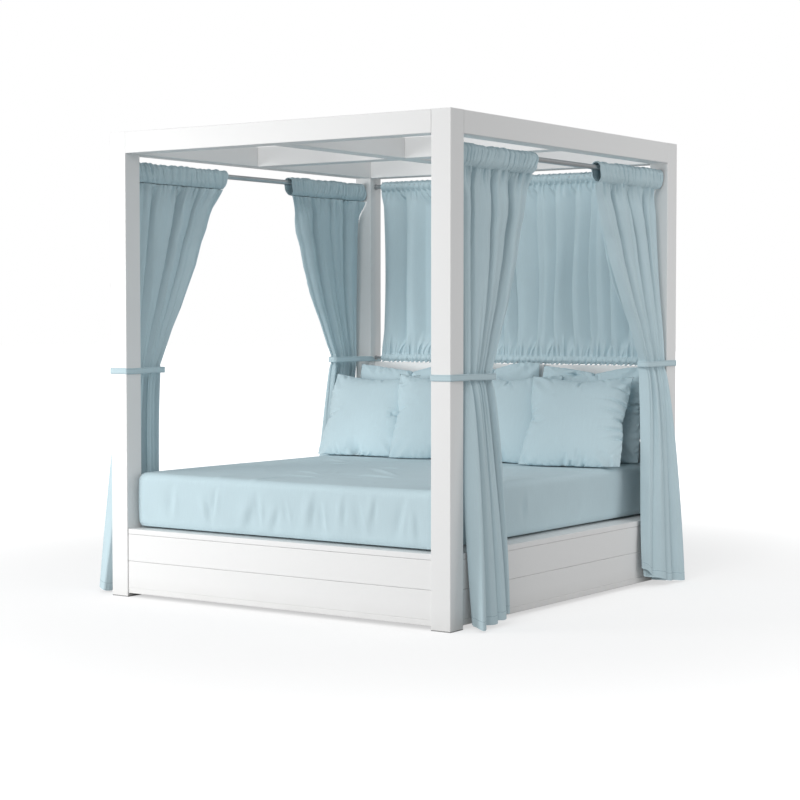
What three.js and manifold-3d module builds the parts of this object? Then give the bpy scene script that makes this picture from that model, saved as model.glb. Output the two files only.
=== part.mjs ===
// Outdoor daybed with canopy: a white powder-coated aluminium frame that carries a mattress, seven
// loose cushions, four tied-back side curtains and one gathered curtain behind the headboard.
// Millimetres, +Z up. X runs across the foot side, Y from the foot to the head, and the origin is on
// the floor in the middle of the footprint.
import * as THREE from 'three';
import Module from 'manifold-3d';
import { mergeVertices } from 'three/addons/utils/BufferGeometryUtils.js';

const wasm = await Module();
wasm.setup();

// Driving dimensions of the frame
const frame_width = 1935;
const frame_depth = 2075;
const frame_height = 2200;
const post_side = 100;
const post_wall = 3;
const post_corner_radius = 3;
const beam_height = 100;
const beam_wall = 3;
const cross_beam_width = 100;
const fit_gap = 0.3;
const cut_overrun = 5;

// Plastic glides under the posts
const glide_plate_thickness = 4;
const glide_plug_height = 30;
const glide_plug_wall = 4;
const glide_plug_clearance = 0.4;

// Base sides: a box-section cap rail over two planks, the lower one with a skirting rail
const base_height = 325;
const floor_gap = 18;
const cap_rail_height = 25;
const cap_rail_wall = 2;
const panel_setback = 5.5;
const plank_thickness = 25;
const plank_wall = 2;
const plank_chamfer = 1.5;
const plank_joint = 1;
const skirting_height = 26;
const ledge_reach = 20;
const ledge_thickness = 3;

// Deck under the mattress
const slot_width = 42;
const slat_width = 68;
const deck_border = 60;
const deck_rib_height = 12;
const deck_rib_thickness = 4;
const deck_pad_width = 25;
const bearer_width = 60;
const bearer_height = 80;
const bearer_wall = 3;
const leg_side = 50;
const leg_wall = 2.5;
const leg_foot_side = 80;
const leg_foot_thickness = 5;
const deck_underside = cap_rail_height - ledge_thickness - fit_gap;

// Headboard planks
const headboard_top = 1081;
const headboard_plank_height = 182;
const headboard_gap = 12;
const headboard_thickness = 25;
const headboard_wall = 2;
const headboard_count = 4;

// Curtain rods
const rod_diameter = 25;
const rod_wall = 1.5;
const rod_segments = 20;
const rod_flange_diameter = 34;
const rod_flange_thickness = 6;
const side_rod_drop = 161;
const upper_head_rod_drop = 147;
const lower_head_rod_rise = 23;
const lower_head_rod_diameter = 14;
const lower_head_flange_diameter = 22;

// Mattress
const mattress_thickness = 267;
const mattress_edge_radius = 40;
const mattress_corner_radius = 45;
const mattress_side_clearance = 4.5;
const mattress_foot_setback = 50;
const mattress_head_clearance = 4;

// Cushions: each row is set out from left to right, and its right-hand ends stand further back. The
// right-hand pair of the front row stands further forward, so that the back cushion behind it lifts clear.
const front_cushion_size = 508;
const front_cushion_thickness = 136;
const front_cushion_tilt = THREE.MathUtils.degToRad(31);
const front_row_setback = 345;
const front_right_pair_setback = 360;
const front_left_end_x = -640;
const front_left_x = -204;
const front_right_x = 220;
const front_right_end_x = 628;
const front_cushion_places = [
  { x: front_left_end_x, turn: THREE.MathUtils.degToRad(5), setback: front_row_setback },
  { x: front_left_x, turn: THREE.MathUtils.degToRad(10), setback: front_row_setback },
  { x: front_right_x, turn: THREE.MathUtils.degToRad(13), setback: front_right_pair_setback },
  { x: front_right_end_x, turn: THREE.MathUtils.degToRad(14), setback: front_right_pair_setback },
];
const back_cushion_width = 560;
const back_cushion_height = 492;
const back_cushion_thickness = 130;
const back_cushion_tilt = THREE.MathUtils.degToRad(9);
const back_left_x = -585;
const back_middle_x = -36;
const back_right_x = 582;
const back_left_setback = 125;
const back_middle_setback = 108;
const back_right_setback = 130;
const back_cushion_places = [
  { x: back_left_x, turn: THREE.MathUtils.degToRad(9), setback: back_left_setback },
  { x: back_middle_x, turn: THREE.MathUtils.degToRad(6), setback: back_middle_setback },
  { x: back_right_x, turn: THREE.MathUtils.degToRad(8), setback: back_right_setback },
];
const cushion_drawn_in = 15;
const cushion_seam = 3;
const cushion_steps = 9;
const crown_power_share = 0.5;
const seam_round_share = 0.06;

// Side curtains
const cloth_thickness = 4;
const pocket_wall = 2.5;
const pocket_clearance = 2;
const header_drop = 66;
const header_seam_half = 3.2;
const header_lead = 245;
const header_slant = 42;
const header_ripple = 3;
const header_ripples = 8;
const header_rings = 16;
const header_start_gap = 1;
const drape_head_gap = 1;
const drape_lead = 292;
const drape_belly = 20;
const drape_fold = 11;
const drape_post_gap = 10;
const gathered_lead = 702;
const gathered_valley = 15;
const gathered_crest = 59;
const gathered_half_band = 24;
const tail_lead = 636;
const tail_valley = 74;
const tail_crest = 179;
const tail_crest_power = 0.6;
const tail_post_side = 910;
const tail_lean = 97;
const tail_lean_share = 0.45;
const tail_shallow_share = 0.5;
const hem_height = 14;
const hem_rise = 52;
const cloth_folds = 4;
const cloth_columns = 16;
const cloth_rows_above = 4;
const cloth_rows_below = 4;

// Tie-backs
const tie_height_foot = 1073;
const tie_band = 28;
const tie_thickness = 3;
const tie_clearance = 0.6;
const tie_over_headboard = 2;
const tie_bundle_clearance = 4;
const tie_lead_clearance = 9;
const tie_end_radius = 10;
const tie_notch_clearance = 2;

// Head curtain
const head_curtain_side_gap = 42;
const head_fold = 9;
const head_folds = 10;
const head_fold_steps = 4;
const head_rows = 3;
const head_gather_share = 0.4;
const head_ruffle_drop = 18;
const head_ruffle_rows = 1;
const head_sheet_thickness = 3;
const head_pocket_sides = 12;
const head_pocket_settle = 1.3;

// Finishes
const coated_white = { color: 0xf3f3f1, roughness: 0.45, metalness: 0 };
const brushed_steel = { color: 0xb4b6b8, roughness: 0.3, metalness: 1 };
const canopy_cloth = { color: 0xb2cad2, roughness: 0.9, metalness: 0 };
const cushion_cloth = { color: 0xbdd3da, roughness: 0.9, metalness: 0 };
const mattress_cloth = { color: 0xc6dbe2, roughness: 0.9, metalness: 0 };
const grey_plastic = { color: 0x9c9d9c, roughness: 0.6, metalness: 0 };

// Places that follow from the driving dimensions
const post_x = (frame_width - post_side) / 2;
const post_y = (frame_depth - post_side) / 2;
const inner_x = frame_width / 2 - post_side;
const inner_y = frame_depth / 2 - post_side;
const beam_bottom = frame_height - beam_height;
const mattress_top = base_height + fit_gap + mattress_thickness;
const panel_outer_x = frame_width / 2 - panel_setback;
const panel_outer_y = frame_depth / 2 - panel_setback;
const headboard_front = post_y - headboard_thickness / 2;
const side_rod_height = frame_height - side_rod_drop;
const upper_head_rod_height = frame_height - upper_head_rod_drop;
const lower_head_rod_height = headboard_top + lower_head_rod_rise;
const left_right = [['left', -1], ['right', 1]];
const foot_head = [['foot', -1], ['head', 1]];

const daybed = new THREE.Group();

// Adds one named sub-part with its own material.
function add_part(name, geometry, finish, position = [0, 0, 0]) {
  const mesh = new THREE.Mesh(geometry, new THREE.MeshStandardMaterial(finish));
  mesh.name = name;
  mesh.position.set(...position);
  daybed.add(mesh);
  return mesh;
}

// A closed mesh as a solid that can be joined and cut.
function to_solid(geometry) {
  const bare = geometry.clone();
  bare.deleteAttribute('normal');
  bare.deleteAttribute('uv');
  const merged = mergeVertices(bare);
  return new wasm.Manifold(new wasm.Mesh({
    numProp: 3,
    vertProperties: new Float32Array(merged.attributes.position.array),
    triVerts: new Uint32Array(merged.index.array),
  }));
}

function to_geometry(solid) {
  const mesh = solid.getMesh();
  const geometry = new THREE.BufferGeometry();
  geometry.setAttribute('position', new THREE.BufferAttribute(mesh.vertProperties, 3));
  geometry.setIndex(new THREE.BufferAttribute(mesh.triVerts, 1));
  geometry.computeVertexNormals();
  return geometry;
}

// The same form for another corner: mirrored across X and Y by the signs given.
function mirrored(geometry, side_x, side_y) {
  const copy = mergeVertices(geometry.clone());
  copy.scale(side_x, side_y, 1);
  if (side_x * side_y < 0) {
    const index = copy.index.array;
    for (let i = 0; i < index.length; i += 3) {
      [index[i], index[i + 1]] = [index[i + 1], index[i]];
    }
  }
  copy.computeVertexNormals();
  return copy;
}

// A rectangle with rounded corners, centred on zero, with no point given twice.
function rounded_rectangle(width, height, radius, corner_steps = 3) {
  const points = [];
  const x = width / 2 - radius;
  const y = height / 2 - radius;
  for (const [corner, centre] of [[x, y], [-x, y], [-x, -y], [x, -y]].entries()) {
    for (let i = 0; i <= corner_steps; i += 1) {
      const angle = (corner + i / corner_steps) * Math.PI / 2;
      points.push(new THREE.Vector2(
        centre[0] + radius * Math.cos(angle), centre[1] + radius * Math.sin(angle)));
    }
  }
  return new THREE.Shape(points);
}

function rectangle(x0, y0, x1, y1, target = new THREE.Shape()) {
  target.moveTo(x0, y0);
  target.lineTo(x1, y0);
  target.lineTo(x1, y1);
  target.lineTo(x0, y1);
  target.closePath();
  return target;
}

function tube_section(width, height, radius, wall) {
  const section = rounded_rectangle(width, height, radius);
  const bore = new THREE.Path();
  rectangle(wall - width / 2, wall - height / 2, width / 2 - wall, height / 2 - wall, bore);
  section.holes.push(bore);
  return section;
}

// A length of a section, with every hole of the section cut right through it.
function extruded(section, length) {
  const options = { bevelEnabled: false, curveSegments: 3 };
  const outline = new THREE.Shape(section.getPoints(options.curveSegments));
  const full = new THREE.ExtrudeGeometry(outline, { ...options, depth: length });
  if (!section.holes || section.holes.length === 0) {
    return full;
  }
  let solid = to_solid(full);
  for (const hole of section.holes) {
    const bore_outline = new THREE.Shape(hole.getPoints(options.curveSegments));
    const bore = new THREE.ExtrudeGeometry(bore_outline,
      { ...options, depth: length + 2 * cut_overrun });
    bore.translate(0, 0, -cut_overrun);
    solid = solid.subtract(to_solid(bore));
  }
  return to_geometry(solid);
}

// Extruded lengths that lie along X or Y, centred on zero, with the section's own Y axis upwards.
function along_x(section, length) {
  const geometry = extruded(section, length);
  geometry.translate(0, 0, -length / 2);
  geometry.rotateY(Math.PI / 2);
  geometry.rotateX(Math.PI / 2);
  return geometry;
}

function along_y(section, length) {
  const geometry = extruded(section, length);
  geometry.translate(0, 0, -length / 2);
  geometry.rotateX(Math.PI / 2);
  return geometry;
}

// Posts: square tubes with a closed top, open below for the glide's plug.
function add_posts() {
  const outer = to_solid(extruded(
    rounded_rectangle(post_side, post_side, post_corner_radius),
    frame_height - glide_plate_thickness - fit_gap,
  ));
  const bore_side = post_side - 2 * post_wall;
  const bore_length = frame_height - glide_plate_thickness - fit_gap - post_wall + cut_overrun;
  const bore_geometry = extruded(rounded_rectangle(bore_side, bore_side, post_wall), bore_length);
  bore_geometry.translate(0, 0, -cut_overrun);
  const post = to_geometry(outer.subtract(to_solid(bore_geometry)));
  for (const [end, side_y] of foot_head) {
    for (const [hand, side_x] of left_right) {
      add_part(`post_${end}_${hand}`, post.clone(), coated_white,
        [side_x * post_x, side_y * post_y, glide_plate_thickness + fit_gap]);
    }
  }
}

// Glides: a flat plate with a hollow square plug that grips inside the post.
function add_glides() {
  const plug_side = post_side - 2 * post_wall - 2 * glide_plug_clearance;
  const plug_bore = plug_side - 2 * glide_plug_wall;
  const plate = to_solid(extruded(
    rounded_rectangle(post_side, post_side, post_corner_radius), glide_plate_thickness));
  const plug = to_solid(extruded(
    rounded_rectangle(plug_side, plug_side, post_wall), glide_plate_thickness + glide_plug_height));
  const pocket_geometry = extruded(
    rounded_rectangle(plug_bore, plug_bore, post_wall), glide_plug_height + cut_overrun);
  pocket_geometry.translate(0, 0, glide_plate_thickness);
  const glide = to_geometry(plate.add(plug).subtract(to_solid(pocket_geometry)));
  for (const [end, side_y] of foot_head) {
    for (const [hand, side_x] of left_right) {
      add_part(`post_glide_${end}_${hand}`, glide.clone(), grey_plastic,
        [side_x * post_x, side_y * post_y, 0]);
    }
  }
}

// Canopy: four beams flush with the posts, and a cross of two beams between them.
function add_canopy() {
  const middle = frame_height - beam_height / 2;
  const beam = tube_section(post_side, beam_height, post_corner_radius, beam_wall);
  const cross_beam = tube_section(cross_beam_width, beam_height, post_corner_radius, beam_wall);
  for (const [end, side_y] of foot_head) {
    add_part(`canopy_beam_${end}`, along_x(beam, 2 * inner_x - 2 * fit_gap), coated_white,
      [0, side_y * post_y, middle]);
  }
  for (const [hand, side_x] of left_right) {
    add_part(`canopy_beam_${hand}`, along_y(beam, 2 * inner_y - 2 * fit_gap), coated_white,
      [side_x * post_x, 0, middle]);
  }
  add_part('cross_beam_long', along_y(cross_beam, 2 * inner_y - 2 * fit_gap), coated_white,
    [0, 0, middle]);
  const short_length = inner_x - cross_beam_width / 2 - 2 * fit_gap;
  for (const [hand, side_x] of left_right) {
    add_part(`cross_beam_${hand}`, along_x(cross_beam, short_length), coated_white,
      [side_x * (inner_x + cross_beam_width / 2) / 2, 0, middle]);
  }
}

// One plank's section, outer face towards +X, foot of the section at zero height. Chamfered edges
// make the joint lines, and a web closes each chamber.
function plank_section(chamber_heights) {
  const section = new THREE.Shape();
  const outer = plank_thickness / 2;
  const total = chamber_heights.reduce((sum, height) => sum + height, 0);
  section.moveTo(-outer, 0);
  let level = 0;
  for (const height of chamber_heights) {
    section.lineTo(outer - plank_chamfer, level);
    section.lineTo(outer, level + plank_chamfer);
    section.lineTo(outer, level + height - plank_chamfer);
    level += height;
  }
  section.lineTo(outer - plank_chamfer, total);
  section.lineTo(-outer, total);
  level = 0;
  for (const height of chamber_heights) {
    const chamber = new THREE.Path();
    rectangle(plank_wall - outer, level + plank_wall, outer - plank_wall,
      level + height - plank_wall, chamber);
    section.holes.push(chamber);
    level += height;
  }
  return section;
}

// The cap rail's section: a flat box as wide as the ledge beside the mattress. On the long sides it
// has a lip inside, on which the deck lies.
function cap_rail_section(with_ledge) {
  const outer = (post_side - panel_setback) / 2;
  const section = new THREE.Shape();
  section.moveTo(outer, plank_chamfer);
  section.lineTo(outer, cap_rail_height - plank_chamfer);
  section.lineTo(outer - plank_chamfer, cap_rail_height);
  section.lineTo(-outer, cap_rail_height);
  if (with_ledge) {
    section.lineTo(-outer, ledge_thickness);
    section.lineTo(-outer - ledge_reach, ledge_thickness);
    section.lineTo(-outer - ledge_reach, 0);
  } else {
    section.lineTo(-outer, 0);
  }
  section.lineTo(outer - plank_chamfer, 0);
  section.closePath();
  const bore = new THREE.Path();
  rectangle(cap_rail_wall - outer, ledge_thickness, outer - cap_rail_wall,
    cap_rail_height - cap_rail_wall, bore);
  section.holes.push(bore);
  return section;
}

// Base: the same three lengths on each side, between the posts.
function add_base() {
  const plank_height = (base_height - floor_gap - cap_rail_height - skirting_height
    - 2 * plank_joint) / 2;
  const levels = [
    ['lower_plank', plank_section([skirting_height, plank_height]), floor_gap, false],
    ['upper_plank', plank_section([plank_height]),
      floor_gap + skirting_height + plank_height + plank_joint, false],
  ];
  const rail_bottom = base_height - cap_rail_height;
  const rail_centre = post_side - panel_setback;
  for (const [side, turn] of [['foot', -1], ['right', 0], ['head', 1], ['left', 2]]) {
    const on_long_side = turn % 2 === 0;
    const length = 2 * (on_long_side ? inner_y : inner_x) - 2 * fit_gap;
    const outer_face = on_long_side ? panel_outer_x : panel_outer_y;
    const angle = turn * Math.PI / 2;
    const place = (distance, height) => [distance * Math.cos(angle), distance * Math.sin(angle), height];
    for (const [level, section, bottom] of levels) {
      const plank = add_part(`${side}_${level}`, along_y(section, length), coated_white,
        place(outer_face - plank_thickness / 2, bottom));
      plank.rotation.z = angle;
    }
    const rail = add_part(`${side}_cap_rail`, along_y(cap_rail_section(on_long_side), length),
      coated_white, place(outer_face - rail_centre / 2, rail_bottom));
    rail.rotation.z = angle;
  }
}

// Deck: two slotted panels, ribbed below, that lie on the side rails' lips and on a centre bearer
// with one leg.
function add_deck() {
  const thickness = deck_underside;
  const length = 2 * inner_y - 2 * fit_gap;
  const width = inner_x - 1.5 * fit_gap;
  const pitch = slat_width + slot_width;
  const slots = Math.floor((length - 2 * deck_border + slat_width) / pitch);
  const margin = (length - slots * pitch + slat_width) / 2;
  const plan = rectangle(0, -length / 2, width, length / 2);
  for (let i = 0; i < slots; i += 1) {
    const start = margin - length / 2 + i * pitch;
    const slot = new THREE.Path();
    rectangle(deck_border, start, width - deck_border, start + slot_width, slot);
    plan.holes.push(slot);
  }
  let panel = to_solid(extruded(plan, thickness));
  for (const share of [1 / 3, 2 / 3]) {
    const rib_x = width * share;
    const rib_section = rectangle(rib_x, -length / 2 + deck_border, rib_x + deck_rib_thickness,
      length / 2 - deck_border);
    const rib_geometry = extruded(rib_section, deck_rib_height + thickness / 2);
    rib_geometry.translate(0, 0, -deck_rib_height);
    panel = panel.add(to_solid(rib_geometry));
  }
  const underside = base_height - thickness;
  const bearer_top = base_height - cap_rail_height - fit_gap;
  const pad_drop = underside - bearer_top - fit_gap;
  const pad_geometry = extruded(rectangle(0, -length / 2, deck_pad_width, length / 2),
    pad_drop + thickness / 2);
  pad_geometry.translate(0, 0, -pad_drop);
  const deck = to_geometry(panel.add(to_solid(pad_geometry)));
  const middle_gap = fit_gap / 2;
  for (const [hand, side_x] of left_right) {
    const half = mirrored(deck, side_x, 1);
    add_part(`deck_${hand}`, half, coated_white, [side_x * middle_gap, 0, underside]);
  }
  const bearer = tube_section(bearer_width, bearer_height, post_corner_radius, bearer_wall);
  const bearer_length = 2 * (panel_outer_y - plank_thickness) - 2 * fit_gap;
  add_part('deck_centre_bearer', along_y(bearer, bearer_length), coated_white,
    [0, 0, bearer_top - bearer_height / 2]);
  const leg_top = bearer_top - bearer_height - fit_gap;
  const foot = to_solid(extruded(
    rounded_rectangle(leg_foot_side, leg_foot_side, post_corner_radius), leg_foot_thickness));
  const tube_geometry = extruded(
    tube_section(leg_side, leg_side, post_corner_radius, leg_wall), leg_top - leg_foot_thickness / 2);
  tube_geometry.translate(0, 0, leg_foot_thickness / 2);
  add_part('deck_centre_leg', to_geometry(foot.add(to_solid(tube_geometry))), coated_white);
}

// Headboard: four box-section planks between the head posts, with a narrow gap between one and the
// next. The lowest one is a lower section that stands on the cap rail.
function add_headboard() {
  const pitch = headboard_plank_height + headboard_gap;
  for (let i = 0; i < headboard_count; i += 1) {
    const top = headboard_top - i * pitch;
    const bottom = Math.max(top - headboard_plank_height, base_height + fit_gap);
    const section = tube_section(headboard_thickness, top - bottom, post_corner_radius, headboard_wall);
    const plank = add_part(`headboard_plank_${i + 1}`, along_y(section, 2 * inner_x - 2 * fit_gap),
      coated_white, [0, post_y, (top + bottom) / 2]);
    plank.rotation.z = Math.PI / 2;
  }
}

// A rod of round tube with a flange pressed on each end, as one revolved profile along its axis.
function rod_geometry(length, diameter, flange_diameter) {
  const bore = diameter / 2 - rod_wall;
  const half = length / 2;
  const profile = [
    new THREE.Vector2(bore, -half),
    new THREE.Vector2(flange_diameter / 2, -half),
    new THREE.Vector2(flange_diameter / 2, rod_flange_thickness - half),
    new THREE.Vector2(diameter / 2, rod_flange_thickness - half),
    new THREE.Vector2(diameter / 2, half - rod_flange_thickness),
    new THREE.Vector2(flange_diameter / 2, half - rod_flange_thickness),
    new THREE.Vector2(flange_diameter / 2, half),
    new THREE.Vector2(bore, half),
    new THREE.Vector2(bore, -half),
  ];
  return new THREE.LatheGeometry(profile, rod_segments);
}

function add_rods() {
  for (const [hand, side_x] of left_right) {
    add_part(`curtain_rod_${hand}`,
      rod_geometry(2 * inner_y - 2 * fit_gap, rod_diameter, rod_flange_diameter), brushed_steel,
      [side_x * post_x, 0, side_rod_height]);
  }
  const head_length = 2 * inner_x - 2 * fit_gap;
  const upper = add_part('head_rod_upper',
    rod_geometry(head_length, rod_diameter, rod_flange_diameter), brushed_steel,
    [0, post_y, upper_head_rod_height]);
  upper.rotation.z = Math.PI / 2;
  const lower = add_part('head_rod_lower',
    rod_geometry(head_length, lower_head_rod_diameter, lower_head_flange_diameter), brushed_steel,
    [0, post_y, lower_head_rod_height]);
  lower.rotation.z = Math.PI / 2;
}

// Mattress: a foam block with rounded edges and corners that fills the space between the posts.
function add_mattress() {
  const radius = mattress_edge_radius;
  const width = 2 * (inner_x - mattress_side_clearance);
  const foot = mattress_foot_setback - frame_depth / 2;
  const head = headboard_front - mattress_head_clearance;
  const plan = rounded_rectangle(width, head - foot, mattress_corner_radius);
  const block = new THREE.ExtrudeGeometry(plan, {
    depth: mattress_thickness - 2 * radius,
    bevelEnabled: true,
    bevelThickness: radius,
    bevelSize: radius,
    bevelOffset: -radius,
    bevelSegments: 4,
    curveSegments: 4,
  });
  add_part('mattress', block, mattress_cloth,
    [0, (foot + head) / 2, base_height + fit_gap + radius]);
}

// A closed body from a grid of front points and back points that meet along their shared rim.
function pillow_body(steps, front_point) {
  const positions = [];
  const index = [];
  const side = steps + 1;
  for (const face of [1, -1]) {
    for (let row = 0; row <= steps; row += 1) {
      for (let column = 0; column <= steps; column += 1) {
        positions.push(...front_point(2 * column / steps - 1, 2 * row / steps - 1, face));
      }
    }
  }
  const layer = side * side;
  for (let row = 0; row < steps; row += 1) {
    for (let column = 0; column < steps; column += 1) {
      const a = row * side + column;
      const quad = [a, a + 1, a + side + 1, a + side];
      index.push(quad[0], quad[1], quad[2], quad[0], quad[2], quad[3]);
      const back = quad.map((i) => i + layer);
      index.push(back[0], back[2], back[1], back[0], back[3], back[2]);
    }
  }
  const geometry = new THREE.BufferGeometry();
  geometry.setAttribute('position', new THREE.Float32BufferAttribute(positions, 3));
  geometry.setIndex(index);
  return geometry;
}

// A scatter cushion standing on its edge: full in the middle, thin at the seam, with sides that pull
// in between the corners. Its crown faces -Y, and its lower edge is pressed straight.
function cushion_geometry(width, height, thickness) {
  const point = (u, v, face) => {
    const pull_x = cushion_drawn_in * (1 - v * v);
    const pull_z = v > 0 ? cushion_drawn_in * (1 - u * u) : 0;
    const crown = ((1 - u * u) * (1 - v * v)) ** crown_power_share;
    const edge = Math.max(Math.abs(u), Math.abs(v)) > 1 - seam_round_share;
    const half = edge ? 0 : cushion_seam + (thickness / 2 - cushion_seam) * crown;
    return [u * (width / 2 - pull_x), -face * half, v * (height / 2 - pull_z)];
  };
  return mergeVertices(pillow_body(cushion_steps, point));
}

// Sets a cushion on the mattress: leaned back, turned, and lowered until it touches.
function add_cushion(name, geometry, tilt, turn, x, y) {
  const cushion = add_part(name, geometry, cushion_cloth);
  cushion.rotation.order = 'ZXY';
  cushion.rotation.set(-tilt, 0, turn);
  cushion.updateMatrix();
  const lowest = new THREE.Box3().setFromBufferAttribute(
    geometry.clone().applyMatrix4(cushion.matrix).attributes.position).min.z;
  cushion.position.set(x, y, mattress_top + fit_gap - lowest);
}

function add_cushions() {
  for (const [i, { x, turn, setback }] of back_cushion_places.entries()) {
    add_cushion(`back_cushion_${i + 1}`,
      cushion_geometry(back_cushion_width, back_cushion_height, back_cushion_thickness),
      back_cushion_tilt, turn, x, headboard_front - setback);
  }
  for (const [i, { x, turn, setback }] of front_cushion_places.entries()) {
    add_cushion(`front_cushion_${i + 1}`,
      cushion_geometry(front_cushion_size, front_cushion_size, front_cushion_thickness),
      front_cushion_tilt, turn, x, headboard_front - setback);
  }
}

// A closed body between two layers of points over the same grid, with a rim round its edge.
function layered_body(columns, rows, front, back) {
  const positions = [];
  const index = [];
  const across = columns + 1;
  const layer = across * (rows + 1);
  for (const surface of [front, back]) {
    for (let row = 0; row <= rows; row += 1) {
      for (let column = 0; column <= columns; column += 1) {
        positions.push(...surface(column, row));
      }
    }
  }
  const at = (column, row) => row * across + column;
  const quad = (a, b, c, d) => index.push(a, b, c, a, c, d);
  for (let row = 0; row < rows; row += 1) {
    for (let column = 0; column < columns; column += 1) {
      const a = at(column, row);
      const b = at(column + 1, row);
      const c = at(column + 1, row + 1);
      const d = at(column, row + 1);
      quad(a, b, c, d);
      quad(a + layer, d + layer, c + layer, b + layer);
    }
  }
  for (let column = 0; column < columns; column += 1) {
    quad(at(column + 1, 0), at(column, 0), at(column, 0) + layer, at(column + 1, 0) + layer);
    const a = at(column, rows);
    quad(a, a + 1, a + 1 + layer, a + layer);
  }
  for (let row = 0; row < rows; row += 1) {
    quad(at(0, row), at(0, row + 1), at(0, row + 1) + layer, at(0, row) + layer);
    const a = at(columns, row);
    const b = at(columns, row + 1);
    quad(b, a, a + layer, b + layer);
  }
  const geometry = new THREE.BufferGeometry();
  geometry.setAttribute('position', new THREE.Float32BufferAttribute(positions, 3));
  geometry.setIndex(index);
  return geometry;
}

// A sheet of the cloth's thickness on both sides of a surface, given point by point.
function sheet_body(columns, rows, middle, thickness) {
  const points = [];
  for (let row = 0; row <= rows; row += 1) {
    for (let column = 0; column <= columns; column += 1) {
      points.push(middle(column / columns, row / rows));
    }
  }
  const at = (column, row) => points[
    THREE.MathUtils.clamp(row, 0, rows) * (columns + 1) + THREE.MathUtils.clamp(column, 0, columns)];
  const offset = (side) => (column, row) => {
    const across = at(column + 1, row).clone().sub(at(column - 1, row));
    const down = at(column, row + 1).clone().sub(at(column, row - 1));
    const normal = across.cross(down).normalize().multiplyScalar(side * thickness / 2);
    return at(column, row).clone().add(normal).toArray();
  };
  return layered_body(columns, rows, offset(1), offset(-1));
}

function smooth(share) {
  return share * share * (3 - 2 * share);
}

// Heights of the tie-back's middle: over the headboard at the head, lower at the foot.
function tie_height(end) {
  return end === 'head' ? headboard_top + tie_over_headboard + tie_band / 2 : tie_height_foot;
}

// The side curtain below its rod, for the corner at +X, +Y: gathered at the header and drawn to the
// post at the tie-back. The valleys and crests of its folds are distances outwards from the rod.
function drape_line(share) {
  const lerp = THREE.MathUtils.lerp;
  const slack = drape_belly * Math.sin(Math.PI * share);
  return {
    lead: lerp(drape_lead, gathered_lead, share) - slack,
    post_side: inner_y - drape_post_gap,
    valley: lerp(-drape_fold, gathered_valley, smooth(share)),
    crest: lerp(drape_fold, gathered_crest, smooth(share)),
    lean: 0,
    shallow_share: 0,
  };
}

// Below the tie-back the cloth swings outside the base, with its deepest fold against the post.
function tail_line(share) {
  const lerp = THREE.MathUtils.lerp;
  return {
    lead: lerp(gathered_lead, tail_lead, smooth(share)),
    post_side: lerp(inner_y - drape_post_gap, tail_post_side, share),
    valley: lerp(gathered_valley, tail_valley, share),
    crest: lerp(gathered_crest, tail_crest, share ** tail_crest_power),
    lean: tail_lean * share,
    shallow_share: tail_shallow_share * share,
  };
}

function cloth_geometry(tie_z) {
  const top = side_rod_height - header_drop - drape_head_gap;
  const band_top = tie_z + gathered_half_band;
  const band_bottom = tie_z - gathered_half_band;
  const rows = cloth_rows_above + cloth_rows_below + 1;
  const middle = (s, t) => {
    const row = Math.round(t * rows);
    const above = row <= cloth_rows_above;
    const share = above ? row / cloth_rows_above : (row - cloth_rows_above - 1) / cloth_rows_below;
    const line = above ? drape_line(share) : tail_line(share);
    const level = above ? THREE.MathUtils.lerp(top, band_top, share)
      : THREE.MathUtils.lerp(band_bottom, hem_height, share) + hem_rise * s * s * share;
    const crest_share = (1 - Math.cos(2 * Math.PI * cloth_folds * s)) / 2;
    const depth = (line.crest - line.valley) * (1 - line.shallow_share * s);
    const lean = line.lean * crest_share * Math.max(0, 1 - s / tail_lean_share);
    const y = THREE.MathUtils.lerp(line.post_side, line.lead, s) + lean;
    return new THREE.Vector3(post_x + line.valley + depth * crest_share, y, level);
  };
  return sheet_body(cloth_columns, rows, middle, cloth_thickness);
}

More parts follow.
